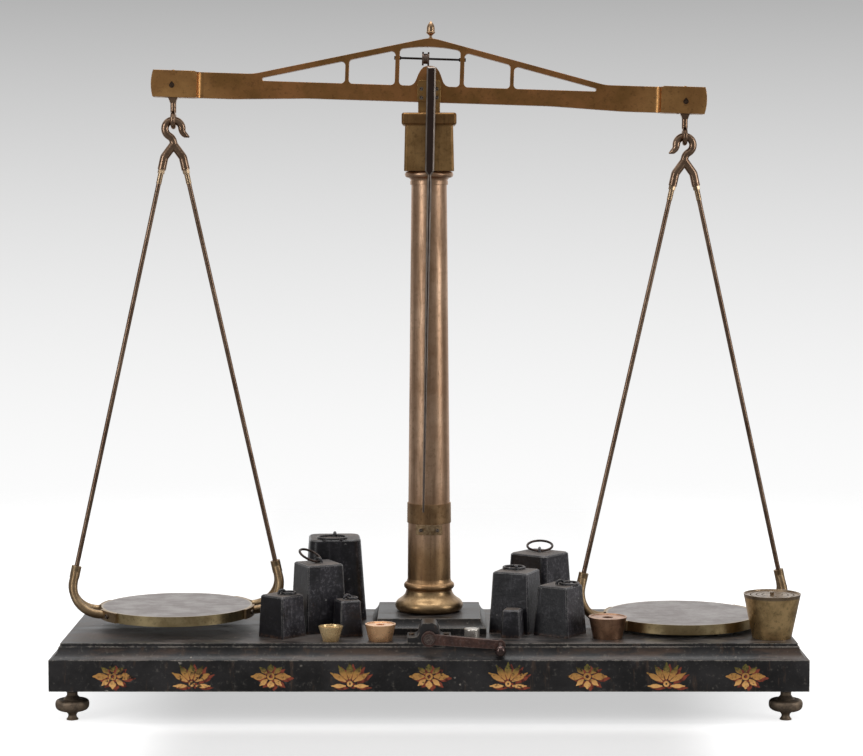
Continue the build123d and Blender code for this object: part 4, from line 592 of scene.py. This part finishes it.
# Beam
# A brass truss cast in one with its box ends and filed flat in front: red-brown, darker near the middle and
# with a yellower bloom towards the ends. Away from the front the beam and the post are painted darker,
# partly a skin left unfiled and partly painted shade on back and top. It rocks between two cheeks on the
# forked lift post.
BEAM_DARK = (0.13, 0.065, 0.03, 1)
BEAM_TONES = ((0.56, 0.255, 0.095, 1), (0.37, 0.185, 0.060, 1), BEAM_DARK)
BEAM_BLOOM = ((0.68, 0.375, 0.14, 1), (0.50, 0.25, 0.092, 1))
BEAM_TURN = (X, 200 * mm, 340 * mm, BEAM_BLOOM)
POST_TONES = ((0.52, 0.30, 0.11, 1), (0.37, 0.20, 0.073, 1), BEAM_DARK)
aged_brass("beam_brass", BEAM_TONES, polish=0.62, spread=50 * mm, turning=BEAM_TURN, back_skin_and_shade=0.6).on(
    "beam_casting"
)
aged_brass("post_brass", POST_TONES, polish=0.62, back_skin_and_shade=0.4).on("lift_post", "front_cheek", "rear_cheek")

# Finial
# A turned brass acorn on the beam's apex: a short neck, a wide cup with a sharp rim, and a nut that narrows
# to a blunt point. It leans with the beam.
ACORN = (                   # radius and height of each ring of its profile, in millimetres
    (2.9, 0.8), (1.7, 2.2), (1.5, 3.4), (3.2, 5.0), (5.2, 6.6), (5.7, 7.5), (5.7, 8.3), (5.0, 8.8),
    (5.0, 10.4), (4.95, 13.4), (4.5, 15.8), (3.5, 17.8), (2.2, 19.4), (1.1, 20.8), (0.45, 21.6),
)
ACORN_TALL = 21.7
ACORN_SUNK = 1.6            # how far its foot goes into the beam
FOOT_RIM = 0.5 * mm         # points this near to the lowest one are its foot's
ACORN_CORNERS = 40
ACORN_CREASE = 35           # degrees
ACORN_TONES = ((0.60, 0.42, 0.26, 1), (0.34, 0.21, 0.12, 1), BEAM_DARK)
points = [point.co.copy() for point in nodes["finial"].data.vertices]
tip = max(points, key=lambda point: point.z)
foot_z = min(point.z for point in points)
lowest = [point for point in points if point.z < foot_z + FOOT_RIM]
foot = sum(lowest, Vector()) / len(lowest)
lean = (tip - foot).normalized() * mm
bpy.ops.object.select_all(action="DESELECT")
bpy.ops.mesh.primitive_circle_add(
    vertices=ACORN_CORNERS, radius=ACORN[0][0] * mm, fill_type="NGON",
    location=tip - lean * (ACORN_TALL + ACORN_SUNK), rotation=lean.to_track_quat("Z", "Y").to_euler(),
)
acorn = bpy.context.active_object
acorn.name = "acorn_finial"
bpy.ops.object.transform_apply()
bpy.ops.object.mode_set(mode="EDIT")
radius, height = ACORN[0][0], -ACORN_SUNK
for next_radius, next_height in ACORN:
    bpy.ops.mesh.extrude_region_move(TRANSFORM_OT_translate={"value": lean * (next_height - height)})
    bpy.ops.transform.resize(value=(next_radius / radius,) * 3)
    radius, height = next_radius, next_height
bpy.ops.mesh.select_all(action="SELECT")
bpy.ops.mesh.normals_make_consistent(inside=False)
bpy.ops.object.mode_set(mode="OBJECT")
bpy.ops.object.shade_smooth_by_angle(angle=math.radians(ACORN_CREASE))
turned_brass = aged_brass("turned_brass", ACORN_TONES, polish=0.72, fleck=0.10)
acorn.data.materials.clear()
acorn.data.materials.append(turned_brass.material)
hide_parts("finial")
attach(acorn, "beam")

# Pointer
# A bevelled steel bar with bright bevels, and a needle of the same metal. Its flat front is painted nearly
# black, a painted reflection of the dark room in front of it.
# A turned pillar carries it in front of the beam's hub.
POINTER_FRONT_SHADE = (0.055, 0.032, 0.026, 1)
BEVEL_DARK = (0.20, 0.165, 0.14, 1)
BEVEL_BRIGHT = (0.31, 0.265, 0.23, 1)
pointer_metal = Finish("pointer_metal", Metallic=1.0)
# Painted reflection: the flat front, which faces the dark room, is painted nearly black.
front = (pointer_metal.facing(Y) * -1).step(0.90, 0.985)
cloud = pointer_metal.noise(20 * mm, detail=5, roughness=0.6)
bevels = pointer_metal.mix(cloud.step(0.35, 0.65), BEVEL_DARK, BEVEL_BRIGHT)
pointer_metal.feed(
    Base_Color=pointer_metal.mix(front * (0.75 + cloud * 0.3), bevels, POINTER_FRONT_SHADE),
    Roughness=0.34 + cloud * 0.16,
    Normal=pointer_metal.bumped(cloud, 0.12, 0.4 * mm),
)
pointer_metal.on("pointer", "pointer_pillar")

# Hangers
# Brown bronze hooks and rods, dark and glossy, screwed together by bright turned ferrules. The cast bows
# that hold the pans are olive-brown and duller.
HANGER_DARK = (0.10, 0.065, 0.04, 1)
HOOK_TONES = ((0.42, 0.28, 0.19, 1), (0.25, 0.155, 0.10, 1), HANGER_DARK)
ROD_TONES = ((0.34, 0.23, 0.16, 1), (0.20, 0.125, 0.085, 1), HANGER_DARK)
FERRULE_TONES = ((0.62, 0.46, 0.30, 1), (0.40, 0.27, 0.16, 1), HANGER_DARK)
BOW_TONES = ((0.40, 0.285, 0.165, 1), (0.27, 0.18, 0.10, 1), HANGER_DARK)
SIDES = ("left", "right")


def both(*pieces):
    return [f"{side}_{piece}" for side in SIDES for piece in pieces]


aged_brass("hook_bronze", HOOK_TONES, polish=0.74).on(*both("hook", "stirrup"))
aged_brass("rod_bronze", ROD_TONES, polish=0.70, drawn=0.3).on(*both("rods"))
aged_brass("ferrule_brass", FERRULE_TONES, polish=0.74).on(*both("ferrules"))
aged_brass("bow_brass", BOW_TONES, polish=0.58, spread=20 * mm).on(*both("bows"))

# Pans
# Turned brass plates, screwed to their bows. The rim is polished by handling, and the top is painted grey:
# partly a dull skin, partly the painted sheen of the bright room behind that it mirrors. It has fine lathe
# rings, wiped streaks and a bright line along its lip.
RIM_BROWN = (0.38, 0.28, 0.145, 1)
RIM_BRIGHT = (0.62, 0.49, 0.27, 1)
RIM_DARK = (0.12, 0.085, 0.05, 1)
PAN_GREY = (0.30, 0.272, 0.262, 1)
PAN_PALE = (0.40, 0.375, 0.362, 1)
PAN_WIPED = (0.205, 0.185, 0.175, 1)
PAN_FLECK = (0.16, 0.14, 0.13, 1)
PAN_LIP = (0.60, 0.52, 0.40, 1)
LIP_STARTS = (90.5 * mm, 93.5 * mm)
LATHE_RINGS = 4200          # in radians for each metre outwards: a ring every 1.5 mm
for side in SIDES:
    low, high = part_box(f"{side}_pan")
    centre = ((low[X] + high[X]) / 2, (low[Y] + high[Y]) / 2, 0)
    finish = Finish(f"{side}_pan_brass", Metallic=1.0)
    spot = finish.node("ShaderNodeVectorMath", {"operation": "SUBTRACT"}, {0: finish.place(), 1: centre})
    flat = finish.node("ShaderNodeVectorMath", {"operation": "MULTIPLY"}, {0: spot, 1: (1, 1, 0)})
    out = finish.node("ShaderNodeVectorMath", {"operation": "LENGTH"}, {0: flat}, "Value")
    rings = finish.node("ShaderNodeMath", {"operation": "SINE"}, {0: out * LATHE_RINGS})
    top = finish.facing(Z).step(0.7, 0.95)
    cloud = finish.noise(30 * mm, detail=6, roughness=0.65)
    wiped = finish.noise(16 * mm, detail=5, roughness=0.65, stretch=(0.22, 1.4, 1), at=(1, 2, 0))
    fine = finish.noise(4 * mm, detail=5, roughness=0.68)
    rim = finish.layered(
        RIM_BROWN,
        (cloud.step(0.35, 0.65), RIM_BRIGHT),
        (fine.step(0.52, 0.70) * 0.5, RIM_DARK),
    )
    # Painted sheen on the top, with its dull grey skin: the bright room behind that it mirrors.
    top_dull_and_sheen = finish.layered(
        PAN_GREY,
        (cloud.step(0.38, 0.64), PAN_PALE),
        (wiped.step(0.50, 0.66) * 0.36, PAN_WIPED),
        (fine.step(0.55, 0.75) * 0.3, PAN_FLECK),
        (out.step(*LIP_STARTS) * 0.7, PAN_LIP),
    )
    finish.feed(
        Base_Color=finish.mix(top, rim, top_dull_and_sheen),
        Roughness=0.30 + top * 0.20 + fine * 0.12 + wiped * top * 0.08,
        Normal=finish.bumped(rings * 0.4 + fine, 0.12, 0.3 * mm),
    )
    finish.on(f"{side}_pan")

# Steel
# Knives and their bearings are ground bright and have browned since. Screws and bolts are dark steel with
# rubbed heads, and the poise rod and its nut between the beam's inner posts are bronzed.
KNIFE_BROWN = (0.070, 0.042, 0.028, 1)
KNIFE_GROUND = (0.12, 0.08, 0.055, 1)
SCREW_TONES = ((0.05, 0.035, 0.028, 1), (0.09, 0.06, 0.045, 1), (0.62, 0.52, 0.42, 1))
POISE_TONES = ((0.13, 0.088, 0.070, 1), (0.21, 0.145, 0.115, 1), (0.42, 0.33, 0.27, 1))
POISE_ROD_TONES = ((0.030, 0.020, 0.018, 1), (0.05, 0.033, 0.028, 1), (0.10, 0.07, 0.06, 1))
STEEL_EDGE = 1.1 * mm
knife_steel = Finish("ground_steel", Metallic=1.0)
grind = knife_steel.noise(3 * mm, detail=4, roughness=0.6, stretch=(1, 6, 1))
knife_steel.feed(
    Base_Color=knife_steel.mix(grind.step(0.4, 0.6), KNIFE_BROWN, KNIFE_GROUND),
    Roughness=0.25 + grind * 0.2,
    Normal=knife_steel.bumped(grind, 0.1, 0.2 * mm),
)
knife_steel.on("knife_bearings", "centre_knife", "end_knives")


def worn_steel(name, tones, gloss):
    """Dark steel or bronze in three tones: plain, browned and rubbed bright along its edges."""
    plain, brown, edges = tones
    finish = Finish(name, Metallic=0.9)
    cloud = finish.noise(11 * mm, detail=6, roughness=0.68)
    fine = finish.noise(2.8 * mm, detail=5, roughness=0.68)
    colour = finish.layered(
        plain,
        (cloud.step(0.4, 0.6), brown),
        (fine.step(0.52, 0.68) * 0.35, edges),
        (finish.rubbed(STEEL_EDGE) * 0.8, edges),
    )
    finish.feed(
        Base_Color=colour,
        Roughness=0.52 - gloss * 0.42 + cloud * 0.16 + fine * 0.08,
        Normal=finish.bumped(fine + cloud, 0.30 - gloss * 0.22, 0.4 * mm),
    )
    return finish


screws = worn_steel("dark_screws", SCREW_TONES, gloss=0.7)
screws.on("cheek_screws", "stand_screws", "column_bolts", *both("pan_screws"))
worn_steel("poise_bronze", POISE_TONES, gloss=0.7).on("poise_nut")
worn_steel("poise_steel", POISE_ROD_TONES, gloss=0.6).on("poise_rod")

# Lift lever
# A forged steel arm on its cam shaft, browned and pitted, with a glossy ball knob and an end screw. The
# shaft runs in a small iron bracket, painted black and screwed to the deck.
LEVER_TONES = ((0.115, 0.070, 0.062, 1), (0.19, 0.105, 0.085, 1), (0.40, 0.31, 0.27, 1))
KNOB_TONES = ((0.085, 0.055, 0.050, 1), (0.12, 0.08, 0.072, 1), (0.20, 0.16, 0.145, 1))
LEVER_SCREW_TONES = ((0.15, 0.105, 0.095, 1), (0.21, 0.15, 0.135, 1), (0.60, 0.50, 0.44, 1))
worn_steel("lever_steel", LEVER_TONES, gloss=0.25).on("lever_arm", "cam_shaft")
worn_steel("lever_ball", KNOB_TONES, gloss=1.22).on("lever_knob")
worn_steel("lever_screw_head", LEVER_SCREW_TONES, gloss=0.9).on("lever_screw")
japanned("bracket_paint", dust=0.04, smear=0.25, chips=0.05).on("lever_bracket")

# Levelling feet and rings
# The feet are turned and knurled bronze, dull and with a grainy skin, and screw up into the base. The loose
# rings on the weights are bent from iron wire and blackened.
LEVELLING_TONES = ((0.20, 0.155, 0.115, 1), (0.33, 0.25, 0.18, 1), (0.46, 0.37, 0.28, 1))
RING_TONES = ((0.035, 0.028, 0.026, 1), (0.07, 0.048, 0.04, 1), (0.20, 0.16, 0.14, 1))
LEVELLING_FEET = [f"levelling_foot_{end}_{side}" for end in ("front", "rear") for side in SIDES]
worn_steel("foot_bronze", LEVELLING_TONES, gloss=0.2).on(*LEVELLING_FEET)
worn_steel("ring_iron", RING_TONES, gloss=0.5).on("weight_ring_second", "weight_ring_rear_right")

# Iron weights
# Cast iron under black enamel, scuffed pale along every edge and powdered with grey on the sides. Faces
# turned right are painted paler as painted light and faces turned left darker as painted shade, and each
# weight is painted darker towards its foot as painted shade. A tan bloom of dust and rust lies on top, and a
# rust line runs round the foot.
ENAMEL = (0.0070, 0.0064, 0.0085, 1)
ENAMEL_DULL = (0.021, 0.0195, 0.025, 1)
POWDER_AND_LIGHT = (0.180, 0.172, 0.190, 1)
SCUFFED = (0.40, 0.385, 0.37, 1)
TAN_BLOOM = (0.150, 0.118, 0.098, 1)
RUST_LINE = (0.12, 0.062, 0.036, 1)
PATTERN_SHIFT = (1.7, 0.9, 2.3)     # from one weight to the next, so that no two wear alike
WEIGHT_EDGE = 1.7 * mm
WEIGHT_SOFT = 1.5 * mm
IRON_WEIGHTS = [name for name in nodes if name.startswith("iron_weight")]
for number, name in enumerate(IRON_WEIGHTS):
    finish = Finish(f"{name}_paint", Metallic=0.0, Specular_IOR_Level=0.55)
    shift = [number * part for part in PATTERN_SHIFT]
    cloud = finish.noise(30 * mm, detail=6, roughness=0.62, at=shift)
    fine = finish.noise(3.8 * mm, detail=5, roughness=0.72, at=shift)
    pits = finish.noise(9 * mm, detail=4, roughness=0.6, at=shift)
    rubs = finish.noise(8 * mm, detail=5, roughness=0.68, stretch=(1, 1, 0.14), at=shift)
    upward = finish.facing(Z).step(0.75, 0.95)
    # Painted light on faces turned right, painted shade on faces turned left.
    lit_right_side = finish.facing(X).step(0.30, 0.80)
    shaded_left_side = (finish.facing(X) * -1).step(0.15, 0.60)
    above_foot = finish.axis(Z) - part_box(name)[0][Z]
    powder_and_light = fine.step(0.51, 0.60) * (0.05 + cloud.step(0.46, 0.60) * 0.34 + lit_right_side * 0.34)
    edge = finish.rubbed(WEIGHT_EDGE)
    scuffs = (edge * fine.step(0.30, 0.46) * pits.step(0.32, 0.48)).clamped()
    chip = (1 - finish.cells(12 * mm).step(0.05, 0.15)) * pits.step(0.52, 0.60)
    # Painted shade: darker towards the foot, except on faces turned right.
    painted_shade_low = (1 - (above_foot + (cloud - 0.5) * 0.05).step(6 * mm, 34 * mm)) * (1 - lit_right_side)
    rusty = (1 - above_foot.step(1 * mm, 5 * mm)) * fine.step(0.42, 0.56)
    colour = finish.layered(
        ENAMEL,
        (cloud.step(0.36, 0.64), ENAMEL_DULL),
        (powder_and_light.clamped(), POWDER_AND_LIGHT),
        (shaded_left_side * 0.65, ENAMEL),
        (rubs.step(0.58, 0.70) * (0.16 + lit_right_side * 0.34), POWDER_AND_LIGHT),
        (lit_right_side * (0.05 + cloud.step(0.35, 0.65) * 0.16), POWDER_AND_LIGHT),
        (upward * (0.35 + cloud.step(0.35, 0.6) * 0.6), TAN_BLOOM),
        (scuffs * 0.9, SCUFFED),
        (chip * 0.8, SCUFFED),
        (painted_shade_low * 0.75, ENAMEL),
        (rusty * 0.6, RUST_LINE),
    )
    height = pits * 0.8 + fine * 0.4 + cloud - edge * 0.3
    finish.feed(
        Base_Color=colour,
        Roughness=0.17 + fine * 0.18 + cloud * 0.12 + upward * 0.26,
        Normal=finish.bumped(height, 0.42, 1.0 * mm, finish.softened(WEIGHT_SOFT)),
    )
    finish.on(name)

# Turned weights
# Cups turned from brass and copper, fingered dull on the side and brighter on the lip, and a small plated
# cylinder. The nest of cups at the right end is closed by a browner lid.
SMALL_CUP_TONES = ((1.0, 0.76, 0.42, 1), (0.72, 0.50, 0.25, 1), (0.24, 0.16, 0.07, 1))
LEFT_COPPER_TONES = ((1.0, 0.60, 0.32, 1), (0.76, 0.41, 0.21, 1), (0.28, 0.14, 0.07, 1))
RIGHT_COPPER_TONES = ((0.58, 0.34, 0.21, 1), (0.34, 0.19, 0.12, 1), (0.13, 0.075, 0.05, 1))
NEST_TONES = ((0.76, 0.52, 0.25, 1), (0.40, 0.26, 0.115, 1), (0.13, 0.085, 0.045, 1))
LID_TONES = ((0.34, 0.25, 0.16, 1), (0.22, 0.155, 0.10, 1))
NICKEL_TONES = ((0.76, 0.71, 0.65, 1), (0.58, 0.53, 0.47, 1), (0.28, 0.24, 0.20, 1))
LID_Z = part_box("brass_cup_nest")[1][Z] - 7 * mm
LID_TURN = (Z, LID_Z, LID_Z + 2 * mm, LID_TONES)
aged_brass("cup_brass_small", SMALL_CUP_TONES, polish=0.72, spread=35 * mm, fleck=0.2, metal=0.68).on(
    "brass_cup_weight_small"
)
aged_brass("cup_brass_nest", NEST_TONES, polish=0.70, metal=0.9, turning=LID_TURN).on("brass_cup_nest")
aged_brass("cup_copper_left", LEFT_COPPER_TONES, polish=0.72, spread=35 * mm, fleck=0.2, metal=0.72).on(
    "copper_cup_weight_left"
)
aged_brass("cup_copper_right", RIGHT_COPPER_TONES, polish=0.66, spread=15 * mm).on("copper_cup_weight_right")
aged_brass(
    "cup_nickel", NICKEL_TONES, polish=0.76, spread=10 * mm, fleck=0.2, soften=3.0 * mm, metal=0.7
).on("nickel_cylinder_weight")
